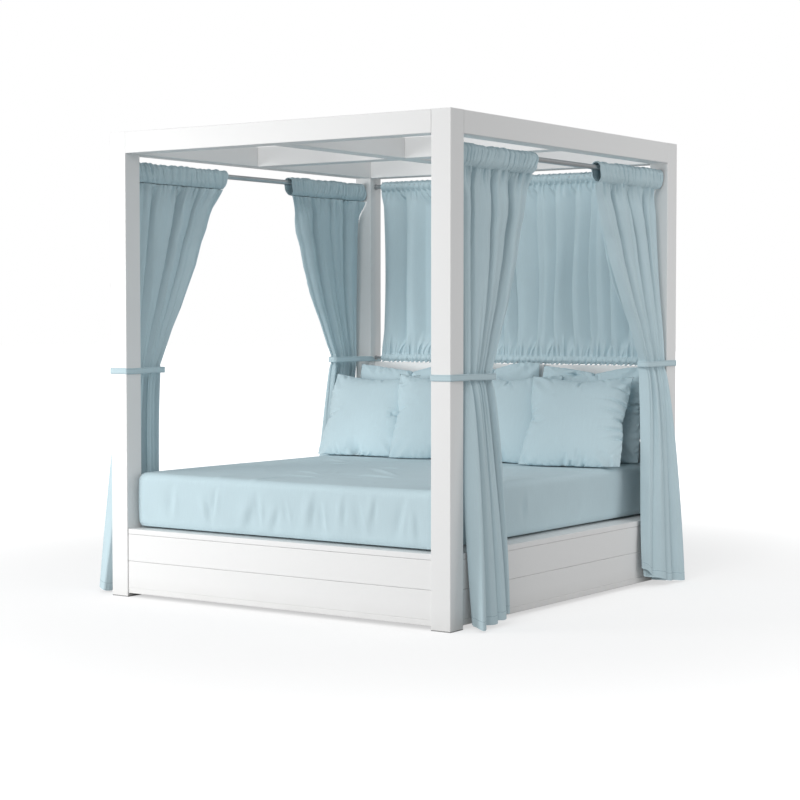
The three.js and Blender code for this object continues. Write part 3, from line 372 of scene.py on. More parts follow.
# The settled panels are drawn again on a grid three times as fine, by cubic steps between their points,
# so that they can hold seam puckers and creases.
steps, finer = 40, 120
at = np.linspace(0, steps, finer + 1)
cell = np.minimum(at.astype(int), steps - 1)
part = at - cell
spread = np.zeros((finer + 1, steps + 1))
for offset, weight in ((-1, -0.5 * part + part ** 2 - 0.5 * part ** 3),
                       (0, 1 - 2.5 * part ** 2 + 1.5 * part ** 3),
                       (1, 0.5 * part + 2 * part ** 2 - 1.5 * part ** 3),
                       (2, -0.5 * part ** 2 + 0.5 * part ** 3)):
    np.add.at(spread, (np.arange(finer + 1), np.clip(cell + offset, 0, steps)), weight)
for name, width, tall, thick, tilt, turn, seed in cushions:
    in_front = name.startswith("front")
    rng = np.random.default_rng(seed)
    u, v, number, back_number, quads, used = sewn_panels(steps)
    ripple = rng.normal(0, 0.004, u.shape)
    front = np.column_stack([u.ravel(), (-0.02 + ripple).ravel(), v.ravel()])
    back = np.column_stack([u.ravel(), (0.02 + ripple).ravel(), v.ravel()])
    front[(number == back_number).ravel(), 1] = 0.0
    aspect = tall / width
    verts = np.vstack([front, back]) * np.array([1.0, 1.0, aspect])
    mesh = bpy.data.meshes.new(name + "_cover")
    mesh.from_pydata(verts[used].tolist(), [], quads.tolist())
    cushion = bpy.data.objects.new(name + "_cover", mesh)
    scene.collection.objects.link(cushion)
    cloth = cushion.modifiers.new("cloth", "CLOTH")
    cloth.settings.quality = 5
    cloth.settings.mass = 0.25
    cloth.settings.tension_stiffness = 14
    cloth.settings.compression_stiffness = 14
    cloth.settings.shear_stiffness = 4
    cloth.settings.bending_stiffness = 0.35
    cloth.settings.use_pressure = True
    cloth.settings.uniform_pressure_force = 5.0
    cloth.settings.effector_weights.gravity = 0.0
    cloth.collision_settings.use_collision = False
    frames_to_settle = 34
    cloth.point_cache.frame_end = frames_to_settle
    for moment in range(1, frames_to_settle + 1):
        scene.frame_set(moment)
    settled = cushion.evaluated_get(bpy.context.evaluated_depsgraph_get()).to_mesh()
    p = np.array([vert.co for vert in settled.vertices])
    cushion.modifiers.clear()
    scene.frame_set(1)
    panels = [np.einsum("aj,bi,jik->abk", spread, spread, p[grid]) for grid in (number, back_number)]
    u, v, number, back_number, quads, used = sewn_panels(finer)
    p = np.vstack([panels[0].reshape(-1, 3), panels[1].reshape(-1, 3)])[used]
    rest = np.vstack([np.column_stack([u.ravel(), v.ravel()])] * 2)[used]
    rest_u, rest_v = rest[:, 0], rest[:, 1]
    sides_in, top_in = (0.019, 0.036) if in_front else (0.018, 0.034)
    p -= (p.max(0) + p.min(0)) / 2
    p[:, 0] *= (width / 2 - 0.012) / abs(p[:, 0]).max()
    p[:, 2] *= (tall / 2 - 0.012) / abs(p[:, 2]).max()
    middle_x = abs(p[(abs(rest_u) > 0.999) & (abs(rest_v) < 0.2), 0]).mean()
    middle_z = abs(p[(rest_v > 0.999) & (abs(rest_u) < 0.2), 2]).mean()
    fuller_x = (width / 2 - sides_in) / middle_x - 1
    fuller_z = (tall / 2 - top_in) / middle_z - 1
    lower_z = (tall / 2 - 0.008) / middle_z - 1
    p[:, 0] *= 1 + fuller_x * np.clip(1 - rest_v ** 4, 0, 1)
    p[:, 2] *= 1 + np.where(rest_v > 0, fuller_z, lower_z) * np.clip(1 - rest_u ** 4, 0, 1)
    p[:, 1] *= thick / 2 / np.percentile(abs(p[:, 1]), 99.5)
    p[:, 1] *= 1 - 0.10 * np.clip(p[:, 2] / tall, -0.5, 0.5)
    # The corners are drawn out to flat points.
    point = (abs(rest_u) * abs(rest_v)) ** 3.5
    beyond_side = 0.010 if in_front else -0.008
    p[:, 0] += point * (rest_u * (width / 2 + beyond_side) - p[:, 0])
    p[:, 2] += point * (np.where(rest_v > 0, rest_v * (tall / 2 + 0.004), -tall / 2 + 0.004) - p[:, 2])
    p[:, 1] *= 1 - 0.55 * point
    slouch_low, slouch_high = slouches.get(name, (0.0, 0.0))
    up_share = np.clip(0.5 + p[:, 2] / tall, 0, 1)
    p[:, 0] += slouch_low * (1 - up_share) + slouch_high * up_share
    panel = np.where(np.arange(len(rest)) < u.size, -1.0, 1.0)
    inside = np.clip(1 - np.maximum(abs(rest_u), abs(rest_v)), 0, 1)
    relief = np.zeros(len(rest))
    for edge in range(4):
        along, out = (rest_u, rest_v) if edge < 2 else (rest_v, rest_u)
        depth = 1 - out * (1 if edge % 2 else -1)
        for crease in range(rng.integers(6, 11)):
            at, wide, deep = rng.uniform(-0.85, 0.85), rng.uniform(0.022, 0.050), rng.uniform(0.08, 0.30)
            slant = rng.uniform(-0.35, 0.35) - 0.5 * at
            reach = np.exp(-(depth / deep) ** 2) * (1 - np.exp(-(depth / 0.03) ** 2) * 0.5)
            aside = along - at - slant * depth
            relief -= rng.uniform(0.5, 1.0) * 0.0080 * np.exp(-(aside / wide) ** 2) * reach
            relief += 0.0045 * np.exp(-((aside - 1.9 * wide) / wide) ** 2) * reach
    for side_u, side_v in ((-1, -1), (1, -1), (-1, 1), (1, 1)):
        from_corner_u, from_corner_v = 1 - rest_u * side_u, 1 - rest_v * side_v
        across = (from_corner_u - from_corner_v) + rng.uniform(-0.06, 0.06)
        down_diagonal = (from_corner_u + from_corner_v) / 2
        crease_reach = np.exp(-((down_diagonal - 0.20) / rng.uniform(0.14, 0.24)) ** 2)
        relief -= 0.0075 * np.exp(-(across / 0.07) ** 2) * crease_reach
        relief += 0.0050 * np.exp(-((abs(across) - 0.14) / 0.06) ** 2) * crease_reach
    for at_u, at_v, wide, long_u, long_v, deep in shown_creases.get(name, []):
        far_u, far_v = (rest_u - at_u) / max(long_u, wide), (rest_v - at_v) / max(long_v, wide)
        relief -= 1.7 * deep * np.exp(-far_u ** 2 - far_v ** 2) * (panel < 0)
    p[:, 1] += panel * relief * np.clip(inside / 0.05, 0, 1)
    low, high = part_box(name)
    turned = Matrix.Rotation(math.radians(turn), 3, "Z") @ Matrix.Rotation(math.radians(-tilt), 3, "X")
    p = p @ np.array(turned).T
    p += np.array([(low.x + high.x) / 2, (low.y + high.y) / 2, low.z - p[:, 2].min() - 0.017])
    under = mattress_top + 0.0012 - p[:, 2]
    p[:, 2] += np.where(under > -0.006, (np.clip(under, -0.006, None) + 0.006) * 0.5, 0)
    p[:, 2] = np.maximum(p[:, 2], mattress_top + 0.0008)
    mesh = bpy.data.meshes.new(name + "_fine")
    mesh.from_pydata(p.tolist(), [], quads.tolist())
    lay_flat(mesh, np.column_stack([rest_u * width / 2, rest_v * tall / 2]), cushion_cloth)
    cushion.data = mesh
    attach(cushion, name)
    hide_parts(name)


# Side curtains: four single widths of cloth, each with a sewn pocket that is bunched up on its rod.
# The folds run from the gathers to the tie-back, where the cloth is drawn against the post, and fall
# from there outside the base to the floor.
def add_hem(material, inset, both_edges, stitch_width, strength, depth, sunk):
    """Sews a hem at an inset from the line where the cloth's second measure is 0, or on both sides of it."""
    tree = material.node_tree
    place, weave, shader = (tree.nodes[name] for name in ("place", "weave", "Principled BSDF"))
    spot = add_node(tree, "ShaderNodeSeparateXYZ", {0: place.outputs["UV"]}).outputs
    height = calc(tree, "ABSOLUTE", spot["Y"]) if both_edges else spot["Y"]
    hem = add_node(tree, "ShaderNodeGroup", {}, node_tree=hem_effect)
    feed(tree, hem.inputs["Distance"], calc(tree, "SUBTRACT", height, inset))
    feed(tree, hem.inputs["Along"], spot["X"])
    feed(tree, hem.inputs["Width"], stitch_width)
    bump = add_node(tree, "ShaderNodeBump", {"Strength": strength, "Distance": depth}, invert=sunk)
    feed(tree, bump.inputs["Height"], hem.outputs["Height"])
    feed(tree, bump.inputs["Normal"], weave.outputs["Normal"])
    sewn = add_node(tree, "ShaderNodeMix", {"Factor": hem.outputs["Mask"], "A": weave.outputs["Color"],
                                            "B": (0.30, 0.42, 0.47, 1)}, data_type="RGBA")
    feed(tree, shader.inputs["Normal"], bump.outputs["Normal"])
    feed(tree, shader.inputs["Base Color"], sewn.outputs["Result"])


curtain_cloth = cloth_material("curtain_cloth")
add_hem(curtain_cloth, 0.035, both_edges=False, stitch_width=0.0012, strength=0.6, depth=0.0012, sunk=True)
# A row of stitches: the seam's line is cut into equal steps, and a bead of thread lies along it at each.
tree = stitch_row = bpy.data.node_groups.new("stitch_row", "GeometryNodeTree")
for label, kind in (("Geometry", "Geometry"), ("Pitch", "Float"), ("Stitch Size", "Vector"),
                    ("Thread", "Material")):
    tree.interface.new_socket(label, in_out="INPUT", socket_type="NodeSocket" + kind)
tree.interface.new_socket("Geometry", in_out="OUTPUT", socket_type="NodeSocketGeometry")
given = add_node(tree, "NodeGroupInput", {}).outputs
line = add_node(tree, "GeometryNodeMeshToCurve", {0: given["Geometry"]})
spaced = add_node(tree, "GeometryNodeResampleCurve", {"Curve": line.outputs[0], "Length": given["Pitch"]},
                  mode="LENGTH")
direction = add_node(tree, "GeometryNodeInputTangent", {})
turned = add_node(tree, "FunctionNodeAlignRotationToVector", {"Vector": direction.outputs[0]}, axis="X")
bead = add_node(tree, "GeometryNodeMeshUVSphere", {"Segments": 6, "Rings": 4})
placed = add_node(tree, "GeometryNodeInstanceOnPoints", {"Points": spaced.outputs[0]})
feed(tree, placed.inputs["Scale"], given["Stitch Size"])
feed(tree, placed.inputs["Instance"], bead.outputs["Mesh"])
feed(tree, placed.inputs["Rotation"], turned.outputs[0])
single = add_node(tree, "GeometryNodeRealizeInstances", {0: placed.outputs[0]})
coloured = add_node(tree, "GeometryNodeSetMaterial", {"Geometry": single.outputs[0],
                                                      "Material": given["Thread"]})
add_node(tree, "NodeGroupOutput", {0: coloured.outputs[0]})
thread = new_material("sewing_thread", {"Base Color": (0.42, 0.56, 0.61, 1), "Roughness": 0.7})[0]


def slow_wave(rng, size, count, fall=1.0):
    """A random slow wave along the cloth, from a few sines that get smaller as they get shorter."""
    return sum(rng.uniform(0.4, 1.0) * size / k ** fall * np.sin(2 * np.pi * k * s + rng.uniform(0, 6.28))
               for k in range(1, count + 1))


def ridges(count, way, phase=0.0, power=1.0):
    """A number of round folds along a way, from 0 in the valleys to 1 on the crests."""
    return abs(np.sin(np.pi * (count * way + phase))) ** power


def eased(share):
    """A smooth step from 0 to 1."""
    return share * share * (3 - 2 * share)


def spots(x, y, z):
    """The points of a level, or the way they move; a single number stands for the whole level."""
    return np.column_stack(np.broadcast_arrays(x, y, z))


def run_along(level):
    """The length of cloth from a level's first point to each of its points."""
    return np.concatenate([[0], np.cumsum(np.linalg.norm(np.diff(level, axis=0), axis=1))])


def evenly(level, columns):
    """The same level with its points at equal steps of cloth."""
    run = run_along(level)
    stops = np.linspace(0, 1, columns + 1) * run[-1]
    return np.column_stack([np.interp(stops, run, level[:, k]) for k in range(3)])


def fold_depth(level, way, most, width, trials):
    """How far the points move for the level to use up the cut's width, or the most there is room for."""
    low, high = 0.0, most
    for trial in range(trials):
        depth = most if trial == 0 else (low + high) / 2
        length = run_along(level + depth * way)[-1]
        if trial == 0 and length < width:
            break
        low, high = (depth, high) if length < width else (low, depth)
    return depth


def sheet(name, p, across, down, corner_order, material):
    """Makes a sheet from rows of points, with the places of its columns and rows on the flat cloth."""
    order = np.arange(p.shape[0] * p.shape[1]).reshape(p.shape[:2])
    quads = np.stack([order[:-1, :-1], order[:-1, 1:], order[1:, 1:], order[1:, :-1]], axis=-1).reshape(-1, 4)
    flat = np.stack(np.broadcast_arrays(across, down[:, None]), axis=-1).reshape(-1, 2)
    return cloth_piece(name, p.reshape(-1, 3).tolist(), quads[:, corner_order].tolist(), flat, material)


post_x, inner_y, rod_z = 0.9175, 0.9375, 2.039
flat_width, flat_length = 1.35, 2.20
header_drop, pocket_radius = 0.066, 0.0160
top = rod_z - header_drop
tie_heights = {"foot": 1.073, "head": 1.097}
seeds = {("foot", "left"): 3, ("foot", "right"): 8, ("head", "left"): 21, ("head", "right"): 34}
columns, fine_steps, wide_folds = 336, 2400, 4
s = np.linspace(0, 1, fine_steps + 1)


def gathers(skew):
    """The pocket's small gathers, at two scales, skewed along the cloth."""
    bend = skew * (1 + 0.8 * np.sin(2 * np.pi * 1.6 * s + 5 * second_phase))
    return (ridges(15, s + 2.2 * drift + bend, top_phase, 0.6),
            ridges(27, s - 1.6 * drift + 1.5 * bend, second_phase, 0.8))


def broad_folds(way, turn):
    """The curtain's four wide folds, of uneven height, and their sway along the rod."""
    main = ridges(wide_folds, way, power=0.75) * (0.86 + 0.14 * np.cos(2 * np.pi * 1.7 * s + turn))
    snake = 1.2 * np.sin(2 * np.pi * 1.3 * s + 5 * second_phase)
    return main, np.sin(2 * np.pi * wide_folds * way + snake)


def tucks(way, width):
    """The tucks in the valleys between the wide folds, and the turn of the edge beside the post."""
    valleys = [np.clip((wide_folds * way - k) / width, -1, 1) for k in range(1, wide_folds)]
    shapes = [0.76 * np.sin(np.pi * (q + 1)) ** 2 + 0.24 * np.cos(np.pi * q / 2) ** 2 for q in valleys]
    return np.max(shapes, axis=0), np.cos(np.pi / 2 * np.clip(wide_folds * way / 0.30, 0, 1)) ** 2


for end, hand, side_x, side_y in corners:
    rng = np.random.default_rng(seeds[end, hand])
    tie_z, rise = tie_heights[end], 0.075 if end == "head" else 0.045
    drift = slow_wave(rng, 0.022, 5)
    wander = slow_wave(rng, 0.024, 4)
    drift, wander = drift * np.sin(np.pi * s) ** 0.5, wander * np.sin(np.pi * s) ** 0.5
    fullness = 0.72 + 0.28 * np.cos(2 * np.pi * 2.6 * s + rng.uniform(0, 6.28))
    top_phase, second_phase = rng.uniform(0, 1), rng.uniform(0, 1)
    # Each level of the cloth is its shape without tucks, the way that each point moves as the tucks deepen,
    # and the deepest that they can be. The tucks lie flat under the fold that is nearer to the foot, and the
    # curtains of the left side turn their wide folds inward.
    levels = []
    start = inner_y - 0.0068
    tangent = math.asin(pocket_radius / header_drop)
    flank = np.linspace(0, 1, 10)
    outline = [(-1, q) for q in flank[:-1]] + [(0, a) for a in np.linspace(math.pi + tangent, -tangent, 18)]
    outline += [(1, q) for q in flank[::-1][1:]]
    for number, (kind, q) in enumerate(outline):
        round_share = number / (len(outline) - 1)
        skew = 0.045 * round_share + 0.010 * math.sin(2 * math.pi * round_share)
        larger, smaller = gathers(skew)
        puckers = 0.62 * larger * (0.45 + 0.55 * fullness) + 0.38 * smaller
        if kind == 0:
            x, drop = (pocket_radius - 0.0012) * math.cos(q), (pocket_radius - 0.0012) * math.sin(q)
            out_x, out_z = math.cos(q), math.sin(q)
        else:
            bulge = 0.0014 * (1 - q) + 0.0150 * math.sin(math.pi * q) * (1 - q)
            x = kind * (pocket_radius * math.cos(tangent) * q + bulge)
            drop = (-pocket_radius * math.sin(tangent)) * q - header_drop * (1 - q)
            out_x, out_z = kind * (0.55 + 0.45 * q), 0.0
            drop = drop + 0.0040 * (1 - q) ** 2 * (puckers - 0.5)
        lead = (0.288 if side_x > 0 else 0.262) + 0.016 * np.clip(-drop / header_drop, 0, 1)
        wobble = 0.0050 * np.sin(2 * np.pi * 15 * (s + 1.4 * drift + skew) + 1.1) * np.sin(np.pi * s)
        level = spots(post_x + x, start + (lead - start) * s + wobble, rod_z + drop)
        levels.append((level, spots(out_x * puckers, 0, out_z * puckers), 0.0190))
    header_levels = len(levels)
    band_top, band_bottom = tie_z + 0.024, tie_z - 0.024
    falls = top - 0.003 - (top - 0.003 - band_top) * np.linspace(0, 1, 112) ** 1.15
    lead_shares = [0, 0.11, 0.23, 0.31, 0.44, 0.56, 0.68, 0.79, 0.94, 1]
    lead_places = [0.304, 0.336, 0.366, 0.402, 0.440, 0.492, 0.543, 0.603, 0.672, 0.702]
    if side_x < 0:
        lead_places[0] = 0.280
    for z in np.concatenate([falls, np.linspace(band_top, band_bottom, 9)[1:]]):
        share = min(1.0, (top - z) / (top - band_top))
        ease, open_share = eased(share), eased(min(1.0, share / 0.16))
        lead = np.interp(share, lead_shares, lead_places)
        depth = 0.012 + 0.046 * open_share - 0.012 * ease
        seat = -0.011 + 0.026 * ease - 0.012 * open_share * (1 - ease)
        way = s + drift * (1 + 0.5 * share) + wander * math.sin(math.pi * share)
        main, snake = broad_folds(way, 4 * share + second_phase * 6)
        second = ridges(7, s - 1.2 * wander * share + drift, top_phase) * fullness
        third = ridges(11, s + wander * (1 - share), second_phase)
        first_weight = 0.70 + 0.10 * ease
        folds = first_weight * main + (0.96 - first_weight) * second + 0.20 * ease * ease * (third - 0.5)
        pleat_weight = max(0.0, 1 - share / 0.22) ** 1.5
        pleats = ridges(9, s + 1.6 * drift, top_phase, 1.1) * fullness
        fine_pleats = ridges(19, s - drift, second_phase, 0.8)
        relief = 0.0290 * (pleats - 0.4) * min(1.0, 0.55 + share * 16) + 0.0080 * (fine_pleats - 0.5)
        larger, smaller = gathers(0.045)
        small = 0.0220 * max(0.0, 1 - share / 0.10) ** 1.5 * (0.62 * larger + 0.38 * smaller - 0.5)
        x = post_x + seat + depth * (1 - 0.55 * pleat_weight) * (folds if side_x > 0 else 0.93 * (1 - folds))
        x = x + side_x * (pleat_weight * relief + small)
        y_start = start - 0.0032 * open_share
        sway = (0.011 - 0.003 * share) * snake * open_share
        sway = sway - 0.006 * np.cos(2 * np.pi * (9 * (s + 1.6 * drift) + top_phase)) * pleat_weight
        y = y_start + (lead - y_start) * s + sway * np.sin(np.pi * s) * (1 - 0.3 * ease)
        tuck, edge = tucks(way, 0.17 + 0.13 * ease)
        room = 1.10 * (y_start - lead) / wide_folds
        sink, under = 0.92 - 0.56 * ease, 0.42 + 0.34 * ease
        if side_x < 0:
            sink, under = 0.72 - 0.54 * ease, 0.70 + 0.16 * ease
        tuck_way = spots(-side_x * (sink * tuck + 0.30 * edge), -side_y * under * tuck, 0)
        levels.append((spots(x, y, z), tuck_way, 0.012 + (room - 0.012) * min(1.0, share / 0.20)))
    for share in np.linspace(0, 1, 98)[1:]:
        ease = eased(share)
        lead = 0.702 - 0.066 * ease
        post_side = (inner_y - 0.010) * (1 - share) + 0.910 * share
        seat, crest = 0.015 + 0.059 * share, 0.061 + 0.118 * share ** 0.6
        depth = (crest - seat) * (1 - 0.5 * share * s)
        way = s + drift * (1.5 - 0.5 * share) + 0.5 * wander * share
        main, snake = broad_folds(way, 4 + 2 * share + second_phase * 6)
        second = ridges(7, s - 1.2 * wander + drift, top_phase) * fullness
        third = ridges(11, s, second_phase)
        first_weight = 0.78 + 0.12 * ease
        folds = first_weight * main + (0.96 - first_weight) * second + 0.20 * (1 - share) ** 2 * (third - 0.5)
        lean = 0.097 * share * main * np.maximum(0, 1 - s / 0.45)
        sway = (0.008 + 0.012 * share) * snake
        x = post_x + seat + depth * (folds if side_x > 0 else 0.93 * (1 - folds))
        y = post_side + (lead - post_side) * s + lean + sway * np.sin(np.pi * s)
        if (end, hand) == ("foot", "left"):
            flare = share * np.exp(-(s / 0.30) ** 2)
            x, y = x + 0.040 * flare, y + 0.050 * flare
        z = band_bottom + (0.014 - band_bottom) * share + rise * s * s * share ** 2
        z = z + 0.006 * share ** 4 * np.cos(2 * np.pi * wide_folds * way)
        tuck, edge = tucks(way, 0.24 + 0.12 * ease)
        tuck_way = spots(-side_x * (0.46 * tuck + 0.30 * (1 - share) * edge), -side_y * 0.72 * tuck, 0)
        levels.append((spots(x, y, z), tuck_way, 1.10 * (post_side - lead) / wide_folds))
    # The cut is as wide at every level, so the tucks are made as deep as it takes to use up its width, or as
    # deep as there is room for, evened out from level to level.
    depths = [fold_depth(level, way, most, flat_width, trials=20) for level, way, most in levels]
    hanging = np.pad(depths[header_levels:], 5, mode="edge")
    depths[header_levels:] = np.convolve(hanging, np.ones(11) / 11, mode="valid")
    p = np.array([evenly(level + depth * way, columns) for (level, way, most), depth in zip(levels, depths)])
    # The cloth stays outside the base's planks and, below the tie-back, outside the post.
    p[:, :, 0] = np.maximum(p[:, :, 0], np.where((p[:, :, 2] < 0.33), 0.9665, 0))
    outside_post = (p[:, :, 1] > inner_y - 0.004) & (p[:, :, 2] < 1.0)
    p[:, :, 0] = np.where(outside_post, np.maximum(p[:, :, 0], 0.9705), p[:, :, 0])
    p[:, :, 0] *= side_x
    p[:, :, 1] *= side_y
    down = np.concatenate([[0], np.cumsum(np.linalg.norm(np.diff(p, axis=0), axis=2).mean(axis=1))])
    down = down[-1] - down
    across = np.linspace(0, 1, columns + 1) * flat_width
    corner_order = [3, 2, 1, 0] if side_x * side_y < 0 else [0, 1, 2, 3]
    curtain = sheet(f"curtain_{end}_{hand}", p, across, down, corner_order, curtain_cloth)
    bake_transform(curtain)
    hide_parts(f"curtain_header_{end}_{hand}", f"curtain_cloth_{end}_{hand}")
    # The pocket's seam is sewn through both layers, so its stitches show outside and inside.
    for face, row, away in (("outside", header_levels - 1, 0.0008), ("inside", 0, -0.0008)):
        sewn = p[row] + np.array([side_x * away, 0, 0.0035])
        path = bpy.data.meshes.new("seam_path")
        path.from_pydata(sewn.tolist(), [(i, i + 1) for i in range(columns)], [])
        seam = bpy.data.objects.new(f"pocket_seam_{end}_{hand}_{face}", path)
        scene.collection.objects.link(seam)
        sew = seam.modifiers.new("stitches", "NODES")
        sew.node_group = stitch_row
        settings = {"Pitch": 0.0046, "Stitch Size": (0.0017, 0.0005, 0.0005), "Thread": thread}
        for socket in stitch_row.interface.items_tree:
            if socket.in_out == "INPUT" and socket.name in settings:
                sew[socket.identifier] = settings[socket.name]
        seam.data = bpy.data.meshes.new_from_object(seam.evaluated_get(bpy.context.evaluated_depsgraph_get()))
        seam.modifiers.clear()
        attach(seam, f"curtain_top_{end}_{hand}")


# Tie-backs: flat straps of the same cloth, hemmed along both edges, closed round the post and the
# gathered curtain. At the head they dip under the end of the lower rod.
strap_cloth = cloth_material("strap_cloth")
add_hem(strap_cloth, 0.010, both_edges=True, stitch_width=0.0006, strength=0.5, depth=0.0008, sunk=False)
stand_off, strap_width = 0.0021, 0.028
near_x, far_x, far_y = 0.8675 - stand_off, 0.9675 + stand_off, 1.0375 + stand_off
bundle_in, bundle_out, lead = 0.9285 - stand_off, 0.9805 + stand_off, 0.6935 - stand_off
knots = [(near_x, far_y), (near_x, 0.9375 - stand_off), (bundle_in, lead + 0.012), (bundle_in + 0.012, lead),
         (bundle_out - 0.012, lead), (bundle_out, lead + 0.012), (bundle_out, 0.9195), (far_x, far_y)]
loop = []
for i, knot in enumerate(knots):
    ahead = Vector(knots[(i + 1) % len(knots)])
    here, behind = Vector(knot), Vector(knots[i - 1])
    cut = min(0.004, (ahead - here).length / 3, (behind - here).length / 3)
    a, b = here + (behind - here).normalized() * cut, here + (ahead - here).normalized() * cut
    for t in (0.0, 0.33, 0.67, 1.0):
        loop.append(a * (1 - t) ** 2 + here * 2 * t * (1 - t) + b * t ** 2)
    gap = (ahead - here).length
    for t in np.linspace(0, 1, max(2, int(gap / 0.008)))[1:-1]:
        q = here + (ahead - here) * float(t)
        if (q - here).length > cut * 1.2 and (q - ahead).length > cut * 1.2:
            loop.append(q)
loop = np.array([[q.x, q.y] for q in loop + loop[:1]])
around = run_along(loop)
total = around[-1]
levels = np.linspace(-strap_width / 2, strap_width / 2, 9)
for end, hand, side_x, side_y in corners:
    dip = np.exp(-((loop[:, 1] - 0.9875) / 0.022) ** 2) * (loop[:, 0] < 0.9) * (end == "head")
    wave = 0.0010 * np.sin(around % total * 19 + 2 * side_x)
    up = levels[:, None]
    z = tie_heights[end] + up + wave - dip * (up + strap_width / 2) / strap_width * 0.0215
    p = np.stack(np.broadcast_arrays(side_x * loop[:, 0], side_y * loop[:, 1], z), axis=-1)
    corner_order = [3, 2, 1, 0] if side_x * side_y > 0 else [0, 1, 2, 3]
    strap = sheet(f"tie_strap_{end}_{hand}", p, around, levels, corner_order, strap_cloth)
    weld = strap.modifiers.new("weld", "WELD")
    weld.merge_threshold = 0.0001
    body = strap.modifiers.new("thickness", "SOLIDIFY")
    body.thickness = 0.0026
    body.offset = 0
    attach(strap, "frame")
    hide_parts(f"tie_back_{end}_{hand}")


# Head curtain: one wide panel shirred on two rods behind the headboard. A frill stands above the
# upper rod and a ruffle hangs below the lower one, and the fullness falls in loose upright folds.
columns, fine_steps = 720, 3600
s = np.linspace(0, 1, fine_steps + 1)
panel_width = 2.9
rng = np.random.default_rng(77)
half_width = 0.8255
upper_z, lower_z, plane_y = 2.0517, 1.1027, 0.9875
drift = slow_wave(rng, 0.006, 8, fall=0.5)
strength = 0.62 + 0.38 * np.sin(2 * np.pi * 3.3 * s + 1.0) * np.sin(2 * np.pi * 5.1 * s + 0.3)
near, far = s + 0.8 * drift, s - 0.6 * drift
gather = ridges(52, near, power=0.6) + 0.4 * abs(np.sin(np.pi * 89 * far + 1.0)) - 0.8
frill = 0.8 * np.cos(2 * np.pi * 52 * near) + 0.9 * np.cos(2 * np.pi * 77 * (s - 1.6 * drift) + 1.0)
near, far = s - 0.8 * drift, s + 0.6 * drift
low_gather = abs(np.sin(np.pi * 49 * near + 0.8)) ** 0.6 + 0.4 * ridges(83, far) - 0.8
low_frill = 0.8 * np.cos(2 * np.pi * 49 * near + 0.8) + 0.9 * np.cos(2 * np.pi * 72 * (s + 1.6 * drift))
way = 15 * (s + 3.2 * drift)
second = abs(np.sin(np.pi * 9.5 * (s - 4.0 * drift) + 0.6)) ** 1.2
broad = 0.62 * ridges(1, way, power=0.8) * (0.55 + 0.45 * strength) + 0.60 * second
tuck = np.cos(np.pi / 2 * np.clip((way - np.round(way)) / 0.30, -1, 1)) ** 2 * (abs(s - 0.5) < 0.475)
# Each pocket's outline: (distance from the rods' plane, height over the rod's centre, depth of the puckers,
# where -1 stands for the frill or the ruffle).
upper_pocket = [(0.0010, -0.0230, 0.2), (0.0090, -0.0140, 0.8), (0.0150, 0.0, 1.0), (0.0110, 0.0110, 0.8),
                (0.0028, 0.0165, 0.3), (0.0022, 0.0240, -1.0), (0.0, 0.0256, -1.0)]
lower_pocket = [(0.0010, 0.0190, 0.2), (0.0062, 0.0100, 0.8), (0.0096, 0.0, 1.0), (0.0066, -0.0080, 0.8),
                (0.0022, -0.0115, 0.3), (0.0022, -0.0190, -1.0), (0.0, -0.0206, -1.0)]
panel_top, panel_bottom = upper_z - 0.028, lower_z + 0.024
profile = [(y, upper_z + dz, w, 1) for y, dz, w in upper_pocket]
profile += [(-y, upper_z + dz, w, -1) for y, dz, w in upper_pocket[::-1][1:]]
profile += [(0.0, float(z), 0.0, 0) for z in np.linspace(panel_top, panel_bottom, 110)]
profile += [(-y, lower_z + dz, w, -1) for y, dz, w in lower_pocket]
profile += [(y, lower_z + dz, w, 1) for y, dz, w in lower_pocket[::-1][1:]]
rows = []
for y_off, z, weight, face in profile:
    t = min(1.0, max(0.0, (panel_top - z) / (panel_top - panel_bottom)))
    pucker, edge_wave = (gather, frill) if t < 0.5 else (low_gather, low_frill)
    x, y = (2 * s - 1) * half_width, plane_y + y_off
    if face == 0:
        hang = eased(min(1.0, 10 * t, 6.5 * (1 - t)))
        bow = math.sin(math.pi * t)
        slide = 0.0170 * np.sin(2 * np.pi * (0.7 * t + 3 * s)) * bow * np.sin(np.pi * s)
        x = (2 * s - 1) * (half_width - 0.012 * bow) + slide
        y = plane_y + hang * (0.010 - (0.024 + 0.014 * bow) * (broad - 0.55))
        fold_way, most = spots(0.88 * hang * tuck, hang * 0.48 * tuck + (1 - hang) * 0.24 * pucker, 0), 0.060
    elif weight < 0:
        fold_way, most = spots(0, edge_wave, 0.35 * (edge_wave + 0.4)), 0.0095
    else:
        fold_way, most = spots(0, face * weight * np.maximum(pucker, -0.15), 0), 0.0130
    # The folds of each level are as deep as it takes to use up the width of the cut, or as there is room for.
    level = spots(x, y, z)
    rows.append(evenly(level + fold_depth(level, fold_way, most, panel_width, trials=24) * fold_way, columns))
p = np.array(rows)
down = np.concatenate([[0], np.cumsum(np.linalg.norm(np.diff(p, axis=0), axis=2).mean(axis=1))])
across = np.linspace(0, 1, columns + 1) * panel_width
panel = sheet("head_panel", p, across, down + 0.2, [0, 3, 2, 1], curtain_cloth)
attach(panel, "frame")
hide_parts("head_curtain")


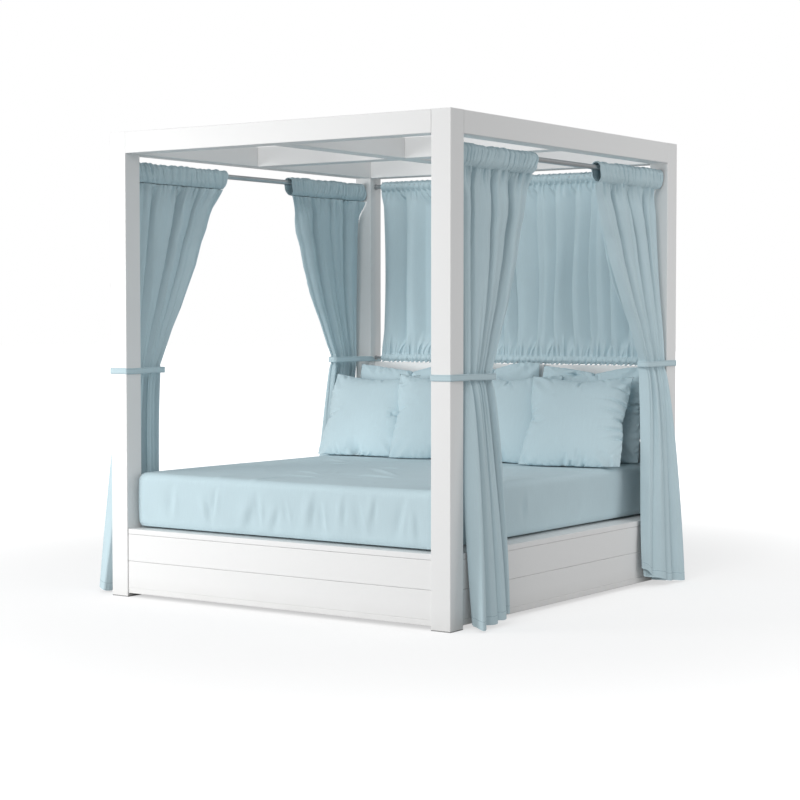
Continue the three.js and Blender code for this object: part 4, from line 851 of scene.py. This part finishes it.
# Studio: a white floor and backdrop that the camera sees as pure white, while the light that they give
# back is the weaker one of a large hall. A broad sun shines from the front and above, a large soft light
# stands at the front left, and a weak one fills in the right side.
white, tree, shader = new_material("studio_white", {"Base Color": (0.45, 0.45, 0.45, 1), "Roughness": 0.9,
                                                    "Specular IOR Level": 0.0, "Emission Color": (1, 1, 1, 1)})
path = add_node(tree, "ShaderNodeLightPath", {}).outputs
place = add_node(tree, "ShaderNodeTexCoord", {}).outputs["Object"]
far = add_node(tree, "ShaderNodeVectorMath", {0: place}, operation="LENGTH").outputs["Value"]
fade = add_node(tree, "ShaderNodeMapRange", {"Value": far, "From Min": 1.8, "From Max": 5.5, "To Min": 0.60,
                                             "To Max": 1.0}, interpolation_type="SMOOTHSTEP")
glow = calc(tree, "MULTIPLY", path["Is Camera Ray"], fade.outputs["Result"])
feed(tree, shader.inputs["Emission Strength"], glow)
floor_mesh = bpy.data.meshes.new("studio_floor")
floor_mesh.from_pydata([(-60, -60, 0), (60, -60, 0), (60, 60, 0), (-60, 60, 0)], [], [(0, 1, 2, 3)])
floor_mesh.materials.append(white)
floor = bpy.data.objects.new("studio_floor", floor_mesh)
scene.collection.objects.link(floor)
world = bpy.data.worlds.new("studio")
world.use_nodes = True
scene.world = world
tree = world.node_tree
ambient = tree.nodes["Background"]
ambient.inputs["Color"].default_value = (0.99, 1.0, 1.01, 1)
ambient.inputs["Strength"].default_value = 0.49
seen = add_node(tree, "ShaderNodeBackground", {"Color": (1, 1, 1, 1), "Strength": 1.0})
path = add_node(tree, "ShaderNodeLightPath", {}).outputs
choose = add_node(tree, "ShaderNodeMixShader", {0: path["Is Camera Ray"], 1: ambient.outputs[0],
                                                2: seen.outputs[0]})
feed(tree, tree.nodes["World Output"].inputs["Surface"], choose.outputs[0])
key_lamp = bpy.data.lights.new("key", "SUN")
key_lamp.energy = 0.93
key_lamp.angle = math.radians(30)
key = bpy.data.objects.new("key", key_lamp)
key.rotation_euler = Vector((-0.12, 0.86, -0.48)).to_track_quat("-Z", "Y").to_euler()
scene.collection.objects.link(key)
for name, watts, place, aim in (("side", 150.0, (-3.8, -4.8, 1.3), (3.4, 4.4, -0.3)),
                                ("fill", 36.0, (4.5, 1.5, 1.5), (-1.0, 0.0, -0.08))):
    lamp = bpy.data.lights.new(name, "AREA")
    lamp.shape = "SQUARE"
    lamp.size = 2.4
    lamp.energy = watts
    soft_light = bpy.data.objects.new(name, lamp)
    soft_light.location = place
    soft_light.rotation_euler = Vector(aim).to_track_quat("-Z", "Y").to_euler()
    scene.collection.objects.link(soft_light)


# Camera: a long lens at chest height, off the foot's right-hand corner and set to the photograph. It keeps
# to the standard view transform.
camera_data = bpy.data.cameras.new("camera")
camera_data.lens = 86.05
camera_data.sensor_width = 36.0
camera_data.clip_end = 200.0
camera = bpy.data.objects.new("camera", camera_data)
camera.location = (5.3651, -7.7173, 1.3258)
camera.rotation_euler = Euler((math.pi / 2 - 0.043, 0.0, 0.6087))
scene.collection.objects.link(camera)
scene.camera = camera
scene.view_settings.view_transform = "Standard"
